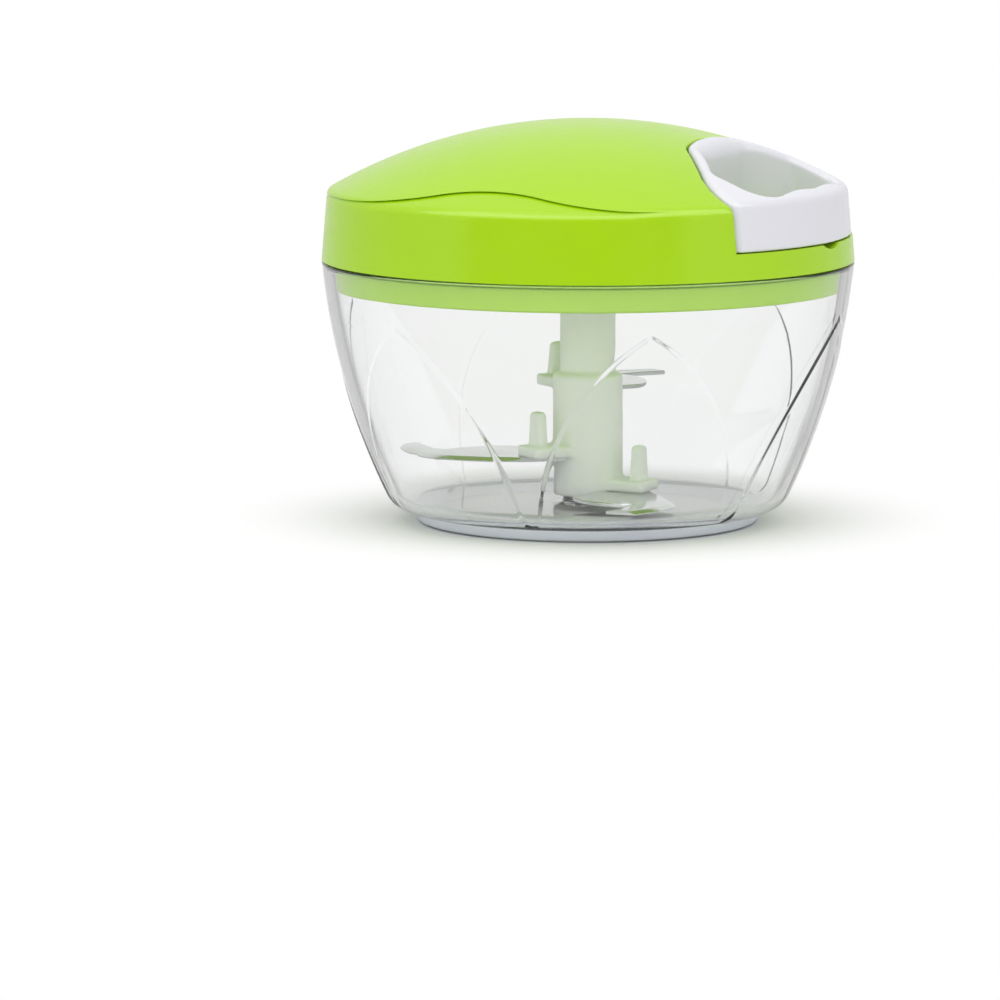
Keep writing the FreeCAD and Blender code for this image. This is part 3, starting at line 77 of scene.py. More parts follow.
def bridge(start: Array, corner: Array, end: Array, t: Array) -> Array:
    """Quadratic curve that touches both sides of a corner.

    It is (1-t)^2 start + 2t(1-t) corner + t^2 end.

    Args:
        start: where it leaves the first side.
        corner: the corner that it cuts off.
        end: where it reaches the second side.
        t: shares of the way, from 0 to 1.

    Returns:
        Points of the curve.
    """
    return (1 - t) ** 2 * start + 2 * t * (1 - t) * corner + t * t * end


def arc_points(centre: Sequence[float], radius: float, turn: Array) -> Array:
    """Points of a flat arc: the centre plus the radius times (cos t, sin t) for each angle t."""
    return np.asarray(centre) + radius * np.stack([np.cos(turn), np.sin(turn)], axis=-1)


def round_points(radius: Array, turn: Array, height: Array) -> Array:
    """Points (r cos a, r sin a, z) about Z, from radii, angles and heights that broadcast."""
    x, y = radius * np.cos(turn), radius * np.sin(turn)
    return np.stack([x, y, height + 0.0 * x], axis=-1)


def rounded_outline(corners: Sequence[Tuple[float, float, float]], steps: int = 6) -> Array:
    """Rounds the corners of an open outline.

    Each corner is cut back along both of its sides and bridged with a quadratic curve.

    Args:
        corners: (x, y, radius) of each corner; a radius of 0 keeps it sharp.
        steps: points along each rounding.

    Returns:
        Points of the outline, one row each.
    """
    points = np.array([corner[:2] for corner in corners], float)
    rows: List[Array] = []
    for i, (x, y, radius) in enumerate(corners):
        if radius <= 0.0 or i in (0, len(corners) - 1):
            rows.append(np.array([[x, y]]))
            continue
        back, on = points[i - 1] - points[i], points[i + 1] - points[i]
        start = points[i] + back / np.linalg.norm(back) * radius
        end = points[i] + on / np.linalg.norm(on) * radius
        t = np.linspace(0.0, 1.0, steps)[:, None]
        rows.append(bridge(start, points[i], end, t))
    return np.concatenate(rows)


class Skin:
    """Collects grids of points and welds them into one mesh."""

    def __init__(self) -> None:
        """Starts empty."""
        self.points: List[Array] = []
        self.quads: List[Array] = []
        self.count = 0

    def add(self, grid: Array, wrap: bool = False, tube: bool = False) -> "Skin":
        """Adds a grid of points.

        Args:
            grid: points in millimetres, rows by columns by 3.
            wrap: whether the last column joins the first.
            tube: whether the last row joins the first.

        Returns:
            This skin, so that calls can follow one another.
        """
        rows, columns = grid.shape[:2]
        index = np.arange(rows * columns).reshape(rows, columns) + self.count
        if wrap:
            index = np.concatenate([index, index[:, :1]], axis=1)
        if tube:
            index = np.concatenate([index, index[:1]], axis=0)
        corners = (index[:-1, :-1], index[:-1, 1:], index[1:, 1:], index[1:, :-1])
        self.points.append(grid.reshape(-1, 3))
        self.quads.append(np.stack(corners, axis=-1).reshape(-1, 4))
        self.count += rows * columns
        return self

    def spin(self, outline: Array, columns: int = 128) -> "Skin":
        """Turns an outline about Z: a point (r, z) goes to (r cos a, r sin a, z) for each angle a.

        Args:
            outline: radius and height of each point.
            columns: how many angles there are.

        Returns:
            This skin.
        """
        angle = np.linspace(0.0, 2.0 * math.pi, columns, endpoint=False)
        return self.add(round_points(outline[:, :1], angle, outline[:, 1:2]), wrap=True)

    def piece(self, name: str, sharp: float = 40.0) -> bpy.types.Object:
        """Makes the object.

        Args:
            name: the piece's name.
            sharp: edges that turn by more degrees than this are shaded sharp.

        Returns:
            The object, at the origin, in metres, with its faces pointing outwards.
        """
        points = np.concatenate(self.points) * MILLIMETRE
        return solid_piece(name, points, np.concatenate(self.quads), sharp)


def solid_piece(name: str, points: Array, quads: Array, sharp: float) -> bpy.types.Object:
    """Welds points in metres into a closed mesh and turns its faces outwards.

    Args:
        name: the piece's name.
        points: one row each.
        quads: four numbers of points each.
        sharp: edges that turn by more degrees than this are shaded sharp.

    Returns:
        The object.
    """
    mesh = bpy.data.meshes.new(name)
    mesh.from_pydata(points.tolist(), [], quads.tolist())
    work = bmesh.new()
    work.from_mesh(mesh)
    bmesh.ops.remove_doubles(work, verts=work.verts, dist=WELD)
    bmesh.ops.dissolve_degenerate(work, edges=work.edges, dist=WELD)
    loose = [vert for vert in work.verts if not vert.link_faces]
    bmesh.ops.delete(work, geom=loose, context="VERTS")
    bmesh.ops.recalc_face_normals(work, faces=work.faces)
    work.to_mesh(mesh)
    work.free()
    mesh.polygons.foreach_set("use_smooth", np.ones(len(mesh.polygons), bool))
    mesh.set_sharp_from_angle(angle=math.radians(sharp))
    thing = bpy.data.objects.new(name, mesh)
    bpy.context.scene.collection.objects.link(thing)
    return thing


# Solids given by their distance field


def meet(a: Array, b: Array, rounding: float, cosine: float = 0.0) -> Array:
    """Intersection of two solids whose shared edge is rounded.

    Both distances are moved out by the rounding. Where a point lies beyond both faces, its distance
    is that from their corner: the root of (a a + b b - 2 a b cosine) over (1 - cosine cosine).

    Args:
        a: distances from the first surface, negative inside.
        b: distances from the second.
        rounding: radius of the edge.
        cosine: cosine of the angle between the two outward normals.

    Returns:
        Distances from the rounded intersection.
    """
    a, b = a + rounding, b + rounding
    beyond = (a > b * cosine) & (b > a * cosine)
    square = (a * a + b * b - 2.0 * cosine * a * b) / (1.0 - cosine * cosine)
    return np.where(beyond, np.sqrt(np.maximum(square, 0.0)), np.maximum(a, b)) - rounding


def fuse(a: Array, b: Array, fillet: float) -> Array:
    """Union of two solids with a fillet, which is the rounded meeting of what is outside them."""
    return -meet(-a, -b, fillet)


@dataclass(frozen=True)
class Lattice:
    """Box of cells in which a distance field is turned into a mesh."""

    low: Tuple[float, float, float]
    high: Tuple[float, float, float]
    cell: float

    def mesh(self, field: Field, polish: int = 5) -> Tuple[Array, Array]:
        """Finds the surface where the field is zero.

        Each cell that the surface passes through gets one point, the mean of where the surface cuts
        the cell's edges, and each cut edge gets the quad of the four cells round it. The points are
        then moved along the field's slope by its value over the slope's length, which puts them on
        the surface.

        Args:
            field: distance at (x, y, z), negative inside.
            polish: how often the points are moved.

        Returns:
            Points in millimetres and quads.
        """
        axes = [np.arange(lo, hi, self.cell) for lo, hi in zip(self.low, self.high)]
        x, y, z = np.meshgrid(*axes, indexing="ij", sparse=True)
        value = field(x, y, z) + 0.0 * (x + y + z)
        inside = value < 0.0
        cells = tuple(n - 1 for n in value.shape)
        total = np.zeros(cells + (3,))
        hits = np.zeros(cells)
        cuts = []
        for axis in range(3):
            low = [slice(None)] * 3
            high = [slice(None)] * 3
            low[axis], high[axis] = slice(None, -1), slice(1, None)
            v0, v1 = value[tuple(low)], value[tuple(high)]
            cut = inside[tuple(low)] != inside[tuple(high)]
            cuts.append(cut)
            share = np.where(cut, v0 / np.where(v0 == v1, 1.0, v0 - v1), 0.0)
            others = [k for k in range(3) if k != axis]
            for da in (0, 1):
                for db in (0, 1):
                    pick = [slice(None)] * 3
                    for other, step in zip(others, (da, db)):
                        pick[other] = slice(step, step + cells[other])
                    part = tuple(pick)
                    hit = cut[part]
                    hits += hit
                    total[..., axis] += np.where(hit, share[part], 0.0)
                    for other, step in zip(others, (da, db)):
                        total[..., other] += hit * float(step)
        used = hits > 0
        number = np.full(cells, -1)
        number[used] = np.arange(int(used.sum()))
        corner = np.stack(np.nonzero(used), axis=-1)
        points = corner + total[used] / hits[used][:, None]
        points = points * self.cell + np.array(self.low)
        quads = []
        for axis, cut in enumerate(cuts):
            b, c = (axis + 1) % 3, (axis + 2) % 3
            place = np.stack(np.nonzero(cut), axis=-1)
            keep = (place[:, b] > 0) & (place[:, c] > 0)
            keep &= (place[:, b] < cells[b]) & (place[:, c] < cells[c])
            place = place[keep]
            ring = []
            for db, dc in ((0, 0), (1, 0), (1, 1), (0, 1)):
                cell = place.copy()
                cell[:, b] -= db
                cell[:, c] -= dc
                ring.append(number[tuple(cell.T)])
            quads.append(np.stack(ring, axis=-1))
        for _ in range(polish):
            points = points - self.pull(field, points)
        return points, np.concatenate(quads)

    def pull(self, field: Field, points: Array) -> Array:
        """How far each point lies from the surface.

        It is the field's value times its slope over the slope squared, and at most a third of a cell.

        Args:
            field: distance at (x, y, z).
            points: one row each.

        Returns:
            The move away from the surface, one row each.
        """
        step, least_square = 0.02, 0.05
        here = field(*points.T)
        slope = np.stack(
            [
                (field(*(points + shift).T) - field(*(points - shift).T)) / (2.0 * step)
                for shift in np.eye(3) * step
            ],
            axis=-1,
        )
        square = np.maximum((slope * slope).sum(axis=1), least_square)
        move = slope * (here / square)[:, None]
        length = np.linalg.norm(move, axis=1)[:, None]
        return move * np.minimum(1.0, self.cell / 3.0 / np.maximum(length, WELD))

    def piece(self, name: str, field: Field, sharp: float = 60.0) -> bpy.types.Object:
        """Makes the object of a field."""
        points, quads = self.mesh(field)
        return solid_piece(name, points * MILLIMETRE, quads, sharp)


# Finishes


class Shine(Enum):
    """How glossy a plastic is, as its roughness."""

    GLOSSY = 0.22
    SATIN = 0.42
    SOFT = 0.62


def linear(red: float, green: float, blue: float) -> Colour:
    """Turns a screen colour into the linear one that shaders take.

    Args:
        red: 0 to 255.
        green: 0 to 255.
        blue: 0 to 255.

    Returns:
        The colour, 0 to 1.
    """
    shade = np.array([red, green, blue]) / 255.0
    low, high = shade / 12.92, ((shade + 0.055) / 1.055) ** 2.4
    return tuple(float(v) for v in np.where(shade <= 0.04045, low, high))


class Nodes:
    """A node tree, with short ways to add nodes to it."""

    def __init__(self, tree: bpy.types.NodeTree) -> None:
        """Empties the tree."""
        self.tree = tree
        self.tree.nodes.clear()

    def put(self, value: object, socket: bpy.types.NodeSocket) -> None:
        """Links a value to a socket, or sets it there if it is a constant.

        Args:
            value: link or constant.
            socket: the socket that takes it.
        """
        if isinstance(value, bpy.types.NodeSocket):
            self.tree.links.new(value, socket)
        else:
            socket.default_value = value

    def node(self, kind: str, **sockets: object) -> bpy.types.Node:
        """Adds a node and fills its sockets.

        Args:
            kind: the node's type.
            sockets: value or link for each socket, its name with _ for blanks.

        Returns:
            The node.
        """
        made = self.tree.nodes.new(kind)
        for name, value in sockets.items():
            self.put(value, made.inputs[name.replace("_", " ")])
        return made

    def maths(self, kind: str, *values: object) -> bpy.types.NodeSocket:
        """Works one sum out.

        Args:
            kind: the operation.
            values: link or constant for each input in turn.

        Returns:
            The result.
        """
        made = self.tree.nodes.new("ShaderNodeMath")
        made.operation = kind
        for value, socket in zip(values, made.inputs):
            self.put(value, socket)
        return made.outputs[0]

    def mixed(
        self, share: bpy.types.NodeSocket, first: bpy.types.NodeSocket, second: bpy.types.NodeSocket
    ) -> bpy.types.NodeSocket:
        """Mixes two shaders.

        Args:
            share: how much of the second there is.
            first: one shader.
            second: the other.

        Returns:
            The mixed shader.
        """
        made = self.tree.nodes.new("ShaderNodeMixShader")
        for value, socket in zip((share, first, second), made.inputs):
            self.tree.links.new(value, socket)
        return made.outputs[0]


class Weave(Nodes):
    """A material's nodes, with its output, its main shader and the place in object space."""

    def __init__(self, name: str) -> None:
        """Makes the material, with its main shader joined to its output.

        Args:
            name: the material's name.
        """
        self.material = bpy.data.materials.new(name)
        self.material.use_nodes = True
        super().__init__(self.material.node_tree)
        self.output = self.tree.nodes.new("ShaderNodeOutputMaterial")
        self.shader = self.tree.nodes.new("ShaderNodeBsdfPrincipled")
        self.tree.links.new(self.shader.outputs["BSDF"], self.output.inputs["Surface"])
        self.place = self.tree.nodes.new("ShaderNodeTexCoord").outputs["Object"]

    def noise(self, scale: float, detail: float = 2.0) -> bpy.types.NodeSocket:
        """Soft noise in object space, with so many grains to the metre."""
        made = self.node("ShaderNodeTexNoise", Vector=self.place, Scale=scale, Detail=detail)
        return made.outputs["Fac"]

    def spread(self, value: bpy.types.NodeSocket, low: float, high: float) -> bpy.types.NodeSocket:
        """Maps noise, which lies near 0.3 to 0.7, to a range.

        Args:
            value: the noise.
            low: what 0.3 becomes.
            high: what 0.7 becomes.

        Returns:
            The mapped value.
        """
        made = self.node(
            "ShaderNodeMapRange", Value=value, From_Min=0.3, From_Max=0.7, To_Min=low, To_Max=high
        )
        return made.outputs["Result"]

    def blend(self, fac: bpy.types.NodeSocket, first: Colour, second: Colour) -> bpy.types.NodeSocket:
        """Mixes two colours.

        Args:
            fac: how much of the second there is.
            first: one colour.
            second: the other.

        Returns:
            The mixed colour.
        """
        made = self.tree.nodes.new("ShaderNodeMix")
        made.data_type = "RGBA"
        self.tree.links.new(fac, made.inputs[0])
        made.inputs[6].default_value = (*first, 1.0)
        made.inputs[7].default_value = (*second, 1.0)
        return made.outputs[2]

    def relief(self, height: bpy.types.NodeSocket, depth: float, strength: float = 1.0) -> None:
        """Bumps the surface, with a depth in metres."""
        made = self.node("ShaderNodeBump", Height=height, Distance=depth, Strength=strength)
        self.join(made.outputs["Normal"], "Normal")

    def join(self, value: bpy.types.NodeSocket, socket: str) -> None:
        """Links a value to the main shader."""
        self.tree.links.new(value, self.shader.inputs[socket])

    def set(self, **values: object) -> None:
        """Sets constants on the main shader's own sockets, names with _ for blanks."""
        for name, value in values.items():
            self.shader.inputs[name.replace("_", " ")].default_value = value


@dataclass(frozen=True)
class MouldedPlastic:
    """Injection-moulded plastic: slight unevenness of colour, and the faint ripple of its tool."""

    name: str
    colour: Colour
    shine: Shine = Shine.GLOSSY
    mottle: float = 0.05
    ripple: float = 0.00002
    glow: float = 0.0

    def make(self) -> bpy.types.Material:
        """Builds the material."""
        weave = Weave(self.name)
        pale = tuple(min(1.0, v * (1.0 + self.mottle)) for v in self.colour)
        deep = tuple(v * (1.0 - self.mottle) for v in self.colour)
        weave.join(weave.blend(weave.noise(45.0, 3.0), deep, pale), "Base Color")
        rough = self.shine.value
        weave.join(weave.spread(weave.noise(260.0), rough * 0.85, rough * 1.2), "Roughness")
        weave.relief(weave.noise(900.0, 3.0), self.ripple, 0.35)
        weave.set(IOR=1.5)
        if self.glow:
            weave.set(Subsurface_Weight=self.glow, Subsurface_Scale=0.004)
            weave.set(Subsurface_Radius=(1.0, 1.0, 0.8))
        return weave.material


@dataclass(frozen=True)
class ClearPlastic:
    """Clear plastic that greys where one looks a long way through it, and lets the lamps through.

    Its base colour is darkened on upright faces where one looks along them, while level faces stay clear:
    painted shade that stands in for the darker surroundings seen through and in the wall. The spans say
    where that starts and ends: how far a face is turned away, and how level it lies.
    """

    name: str
    tint: Colour
    density: float
    # edge: colour of the painted shade that the base colour turns to on upright faces seen edge-on.
    edge: Colour
    rough: float = 0.02
    turned_away: Pair = (0.8, 0.92)
    level: Pair = (0.75, 0.95)

    def make(self) -> bpy.types.Material:
        """Builds the material."""
        weave = Weave(self.name)
        weave.set(Roughness=self.rough, IOR=1.5, Transmission_Weight=1.0)
        facing = weave.node("ShaderNodeLayerWeight", Blend=0.5).outputs["Facing"]
        first, last = self.turned_away
        grazing = weave.node("ShaderNodeMapRange", Value=facing, From_Min=first, From_Max=last)
        normal = weave.tree.nodes.new("ShaderNodeTexCoord").outputs["Normal"]
        parts = weave.node("ShaderNodeSeparateXYZ", Vector=normal)
        tilt = weave.maths("ABSOLUTE", parts.outputs["Z"])
        first, last = self.level
        upright = weave.node(
            "ShaderNodeMapRange", Value=tilt, From_Min=first, From_Max=last, To_Min=1.0, To_Max=0.0
        )
        # Painted shade: the base colour darkens towards the edge colour where an upright face is seen
        # edge-on, standing in for the darker surroundings seen through and in the wall.
        share = weave.maths("MULTIPLY", grazing.outputs["Result"], upright.outputs["Result"])
        weave.join(weave.blend(share, (1.0, 1.0, 1.0), self.edge), "Base Color")
        weave.relief(weave.noise(60.0, 1.0), 0.00002, 0.12)
        depth = weave.node("ShaderNodeVolumeAbsorption", Color=(*self.tint, 1.0), Density=self.density)
        weave.tree.links.new(depth.outputs["Volume"], weave.output.inputs["Volume"])
        shadow = weave.tree.nodes.new("ShaderNodeLightPath").outputs["Is Shadow Ray"]
        through = weave.node("ShaderNodeBsdfTransparent", Color=(1.0, 1.0, 1.0, 1.0))
        mixed = weave.mixed(shadow, weave.shader.outputs["BSDF"], through.outputs["BSDF"])
        weave.tree.links.new(mixed, weave.output.inputs["Surface"])
        return weave.material


@dataclass(frozen=True)
class SheetSteel:
    """Ground stainless sheet, with fine grinding lines along one way and soft smears."""

    name: str
    colour: Colour = (0.55, 0.56, 0.57)
    rough: float = 0.24

    def make(self) -> bpy.types.Material:
        """Builds the material."""
        weave = Weave(self.name)
        along = weave.node("ShaderNodeMapping", Vector=weave.place, Scale=(60.0, 2600.0, 60.0))
        grind = weave.node("ShaderNodeTexNoise", Vector=along.outputs["Vector"], Scale=1.0, Detail=3.0)
        weave.relief(grind.outputs["Fac"], 0.00001, 0.4)
        dark = tuple(v * 0.8 for v in self.colour)
        weave.join(weave.blend(weave.noise(120.0, 3.0), dark, self.colour), "Base Color")
        weave.join(
            weave.spread(grind.outputs["Fac"], self.rough * 0.8, self.rough * 1.3), "Roughness"
        )
        weave.set(Metallic=1.0)
        return weave.material


@dataclass(frozen=True)
class BraidedCord:
    """Braided cord: two crossing sets of strands in the relief, and painted shade in the grooves between
    them.
    """

    name: str
    colour: Colour

    def make(self) -> bpy.types.Material:
        """Builds the material."""
        weave = Weave(self.name)
        heights = []
        for turn in (35.0, -35.0):
            lean = weave.node(
                "ShaderNodeMapping", Vector=weave.place, Rotation=(0.0, math.radians(turn), 0.0)
            )
            wave = weave.node("ShaderNodeTexWave", Vector=lean.outputs["Vector"], Scale=520.0)
            heights.append(wave.outputs["Fac"])
        high = weave.maths("MAXIMUM", *heights)
        # Painted shade: the base colour darkens to 72 % where the strands' waves are low, in the grooves
        # between them.
        shade = tuple(v * 0.72 for v in self.colour)
        weave.join(weave.blend(high, shade, self.colour), "Base Color")
        weave.relief(high, 0.00012, 0.8)
        weave.set(Roughness=0.7, Sheen_Weight=0.2)
        return weave.material


# Lid


@dataclass(frozen=True)
class DomeForm:
    """Half section of the lid: leaning band, rounding and dome."""

    radius: float = 64.98
    seam: float = 64.0
    lean: float = 4.7
    dome: float = 127.4
    top: float = 98.0
    inset: float = 0.0
    rounding: float = 2.0
    lowered: float = 0.0

    def outline(self, foot: float, steps: int = 600) -> Tuple[Array, Array, Array]:
        """Samples the section from a height on the band up to the axis.

        The rounding's centre lies where the band and the dome, both moved in by the rounding, meet,
        which is the root of a quadratic.

        Args:
            foot: height where the section starts.
            steps: points on each of its three runs.

        Returns:
            Distance along the section, radius and height of each point.
        """
        slope = math.tan(math.radians(self.lean))
        cosine = math.cos(math.radians(self.lean))
        centre = self.top - self.dome
        reach = self.dome - self.inset - self.lowered
        inner = reach - self.rounding
        start = self.radius - (self.inset + self.rounding) / cosine
        leaned = start + slope * (self.seam - centre)
        square = 1.0 + slope * slope
        rise = (leaned * slope + math.sqrt(inner * inner * square - leaned * leaned)) / square
        middle = np.array([leaned - slope * rise, centre + rise])
        first, last = math.radians(self.lean), math.atan2(rise, middle[0])
        band_foot = self.radius - self.inset / cosine - slope * (foot - self.seam)
        turn = np.linspace(first, last, steps)
        arc = arc_points(middle, self.rounding, turn)
        band = np.linspace(np.array([band_foot, foot]), arc[0], steps, endpoint=False)
        over = np.linspace(last, math.pi / 2.0, 4 * steps)[1:]
        dome = arc_points((0.0, centre), reach, over)
        points = np.concatenate([band, arc, dome])
        points[-1, 0] = 0.0
        gaps = np.linalg.norm(np.diff(points, axis=0), axis=1)
        return np.concatenate([[0.0], np.cumsum(gaps)]), points[:, 0], points[:, 1]


@dataclass(frozen=True)
class NestPlan:
    """Plan of the handle and its nest: bowed nose, sloping flanks and a turn along X."""

    nose: float = 30.7
    bow: float = 1.5
    half_width: float = 33.7
    turn_radius: float = 14.9
    turn_end: float = 54.8
    slope: float = 53.8
    corner: float = 6.5
    tail: float = 15.0

    def outline(self, outset: float, steps: int = 400) -> Array:
        """Plan of one side from the middle of the nose to the straight end of the flank.

        The nose is an arc through both corners, the flank is straight, and the turn is an arc that
        ends along X. The corner between nose and flank is rounded with a quadratic curve.

        Args:
            outset: how far the plan is grown.
            steps: points on each run.

        Returns:
            Points, one row each.
        """
        lean = math.radians(self.slope)
        turn = self.turn_radius + outset
        middle_y = self.half_width - self.turn_radius
        corner_x = self.nose + self.bow - outset
        flank = np.array([self.turn_end - turn * math.sin(lean), middle_y + turn * math.cos(lean)])
        corner = np.array([corner_x, flank[1] - (flank[0] - corner_x) * math.tan(lean)])
        nose_radius = (corner[1] ** 2 + self.bow**2) / (2.0 * self.bow)
        y = np.linspace(0.0, corner[1], steps)
        nose = np.stack(
            [corner_x - self.bow + nose_radius - np.sqrt(nose_radius**2 - y * y), y], axis=-1
        )
        cut = (self.corner + outset) * math.tan(math.radians(90.0 - self.slope) / 2.0)
        nose = nose[np.linalg.norm(nose - corner, axis=1) > cut]
        way = (flank - corner) / np.linalg.norm(flank - corner)
        after = corner + way * cut
        bend = bridge(nose[-1], corner, after, np.linspace(0.0, 1.0, steps // 4)[:, None])
        side = np.linspace(after, flank, steps)[1:]
        swing = np.linspace(math.pi / 2.0 + lean, math.pi / 2.0, steps)[1:]
        arc = arc_points((self.turn_end, middle_y), turn, swing)
        tail = np.linspace(arc[-1], arc[-1] + np.array([self.tail, 0.0]), 100)[1:]
        return np.concatenate([nose[:-1], bend, side, arc, tail])


@dataclass(frozen=True)
class Crease:
    """Height over X of the line that sweeps over each side of the lid.

    Its crest and tails are arcs that meet tangent, and it runs out straight to the rim.
    """

    centre: float = 0.5
    low: float = 80.45
    rise: float = 4.4
    reach: float = 50.0
    crest: float = 75.0
    tail_drop: float = 1.0
    tail_run: float = 18.0

    def height(self, x: Array) -> Array:
        """Height of the crease.

        The crest's arc has the radius crest. The tails' arcs take what is left of the radius at which
        both together rise by rise over reach: (rise^2 + reach^2) / (2 rise).

        Args:
            x: places along X.

        Returns:
            Height at each place.
        """
        both = (self.rise**2 + self.reach**2) / (2.0 * self.rise)
        tail = both - self.crest
        away = np.abs(x - self.centre)
        meet_at = self.crest * self.reach / both
        top = self.low + self.rise - self.crest
        crest = top + np.sqrt(np.maximum(self.crest**2 - away**2, 0.0))
        left = np.clip(self.reach - away, 0.0, tail)
        foot = self.low + tail - np.sqrt(tail**2 - left**2)
        out = self.low - self.tail_drop * (away - self.reach) / self.tail_run
        return np.where(away < meet_at, crest, np.where(away < self.reach, foot, out))


@dataclass(frozen=True)
class LidSkin:
    """One skin of the lid cover, outer or inner, over the half where y is positive."""

    shoulder: DomeForm
    skin: DomeForm
    outset: float
    floor: float
    edge: float
    crease: Optional[Crease]
    plan: NestPlan = NestPlan()
    crease_flat: float = 78.5
    notch_half: float = 5.0
    notch_depth: float = 1.2
    notch_start: float = 58.5
    columns: int = 118
    nest_columns: int = 40
    soft: Optional[DomeForm] = None
    hub: Pair = (45.0, 66.0)
    soft_from: float = 47.0
    soft_run: float = 12.0
    bend_run: float = 9.0
    lip: float = 0.35
    dome_rows: int = 70

    def angle_out(self, radius: Array, outline: Array) -> Array:
        """Direction of the nest's outline, on its outer part.

        Args:
            radius: distances from the axis.
            outline: points of the nest's plan.

        Returns:
            Direction at each radius.
        """
        reach = np.hypot(outline[:, 0], outline[:, 1])
        angle = np.arctan2(outline[:, 1], outline[:, 0])
        widest = int(np.argmax(angle))
        return np.interp(radius, reach[widest:], angle[widest:])

    def angles(self, radius: Array, height: Array) -> Array:
        """Angle of each point of a section about its hub, from which every section is seen once."""
        return np.arctan2(height - self.hub[1], radius - self.hub[0])

    def turned(self, at: Array, along: Array, radius: Array, height: Array) -> Array:
        """Angle about the hub of the points at given distances along a section."""
        return self.angles(np.interp(at, along, radius), np.interp(at, along, height))

    def step_share(self, direction: Array) -> Array:
        """Share of the crease's step, which fades away towards the nest.

        Args:
            direction: directions about the axis.

        Returns:
            The share in each direction, 0 to 1.
        """
        if self.soft is None:
            return np.ones_like(direction)
        return smooth_step((np.degrees(np.abs(direction)) - self.soft_from) / self.soft_run)

    def eased(self, radius: Array, height: Array, share: Array) -> Tuple[Array, Array]:
        """Moves points of a section towards the soft section.

        The distance from the hub becomes the share of the point's own plus the rest of the soft
        section's at the same angle.

        Args:
            radius: distances from the axis.
            height: heights.
            share: how much stays of the point's own.

        Returns:
            Radius and height of each moved point.
        """
        if self.soft is None:
            return radius, height
        _, soft_r, soft_z = self.soft.outline(self.soft.seam)
        reach = np.hypot(soft_r - self.hub[0], soft_z - self.hub[1])
        angle = self.angles(radius, height)
        own = np.hypot(radius - self.hub[0], height - self.hub[1])
        far = share * own + (1.0 - share) * np.interp(angle, self.angles(soft_r, soft_z), reach)
        return self.hub[0] + far * np.cos(angle), self.hub[1] + far * np.sin(angle)

    def grids(self) -> List[Array]:
        """Works out the patches of this skin.

        A column runs in one direction from the band's foot over the shoulder, under and round the
        crease's edge and up the dome to the axis. Its points are taken from the two sections by
        their distance along them. Where the nest is in the way, the column bends along the nest's
        outline or starts at it. The nest's wall, its ledge and the band under its mouth are ruled
        between the same points.

        Returns:
            Grids of points with y at least 0.
        """
        outline = self.plan.outline(self.outset + self.edge)
        reach = np.hypot(outline[:, 0], outline[:, 1])
        angle = np.arctan2(outline[:, 1], outline[:, 0])
        widest = int(np.argmax(angle))
        turn, turn_radius = float(angle[widest]), float(reach[widest])
        low_s, low_r, low_z = self.shoulder.outline(self.shoulder.seam)
        top_s, top_r, top_z = self.skin.outline(self.skin.seam)

        def bent(radius: Array, start: Array) -> Array:
            """Direction of a column, bent along the nest near it.

            Args:
                radius: distances from the axis.
                start: the columns' own directions.

            Returns:
                The direction at each radius.
            """
            bend = turn - self.angle_out(np.maximum(radius, turn_radius), outline)
            fall = np.clip(1.0 - (start - turn) / math.radians(self.bend_run), 0.0, 1.0) ** 2
            return start - bend * fall

        # Directions, closer together near the nest
        t = np.linspace(0.0, 1.0, self.columns)
        start = turn + (math.pi - turn) * (0.75 * t + 0.25 * t * t)
        # Where the crease is on each column
        level = np.full(self.columns, self.crease_flat)
        if self.crease is not None:
            for _ in range(30):
                radius = np.interp(level, low_z, low_r)
                level = self.crease.height(radius * np.cos(bent(radius, start)))
        share = self.step_share(bent(np.full(self.columns, low_r[0]), start))
        s_low = np.interp(level, low_z, low_s)
        same = np.interp(self.turned(s_low, low_s, low_r, low_z), self.angles(top_r, top_z), top_s)
        s_top = share * np.interp(level, top_z, top_s) + (1.0 - share) * (same + 0.05)
        s_turn = np.interp(-turn_radius, -top_r, top_s)
        s_floor = float(np.interp(self.floor, low_z, low_s))

        def rows_between(first: Array, last: Array, count: int) -> Array:
            """Rows at even steps from the first to the last."""
            return first + (last - first) * np.linspace(0.0, 1.0, count)[:, None]

        def placed(radius: Array, height: Array) -> Array:
            """Points of all columns, eased and turned into their directions.

            Args:
                radius: radius of each point, rows by columns.
                height: its height.

            Returns:
                Grid of points.
            """
            direction = bent(radius, start[None, :])
            radius, height = self.eased(radius, height, share)
            return round_points(radius, direction, height)

        below = rows_between(np.zeros(self.columns), np.full(self.columns, s_floor), 8)
        above = rows_between(np.full(self.columns, s_floor), s_low, 26)
        band = placed(np.interp(below, low_s, low_r), np.interp(below, low_s, low_z))
        shoulder = placed(np.interp(above, low_s, low_r), np.interp(above, low_s, low_z))
        # Under the skin's edge and round it
        inner_r, outer_r = np.interp(s_low, low_s, low_r), np.interp(s_top, top_s, top_r)
        lip = share * np.minimum(self.lip, 0.45 * np.maximum(outer_r - inner_r, 0.0))
        creased = self.crease is not None
        s_lip = s_top + (np.maximum(lip, 0.02) if creased else 0.0)
        t = np.linspace(0.0, 1.0, 6)[:, None]
        corner = np.stack([outer_r, np.interp(s_top, top_s, top_z)])
        before = corner - np.stack([lip, 0.0 * lip])
        after = np.stack([np.interp(s_lip, top_s, top_r), np.interp(s_lip, top_s, top_z)])
        curve = [bridge(before[k], corner[k], after[k], t) for k in (0, 1)]
        ledge = placed(
            np.concatenate([inner_r[None], curve[0]]), np.concatenate([level[None], curve[1]])
        )
        outer = rows_between(s_lip, np.full(self.columns, s_turn), 22)
        over = rows_between(np.full(self.columns, s_turn), np.full(self.columns, top_s[-1]), self.dome_rows)
        rim = placed(np.interp(outer, top_s, top_r), np.interp(outer, top_s, top_z))
        dome = placed(np.interp(over, top_s, top_r), np.interp(over, top_s, top_z))
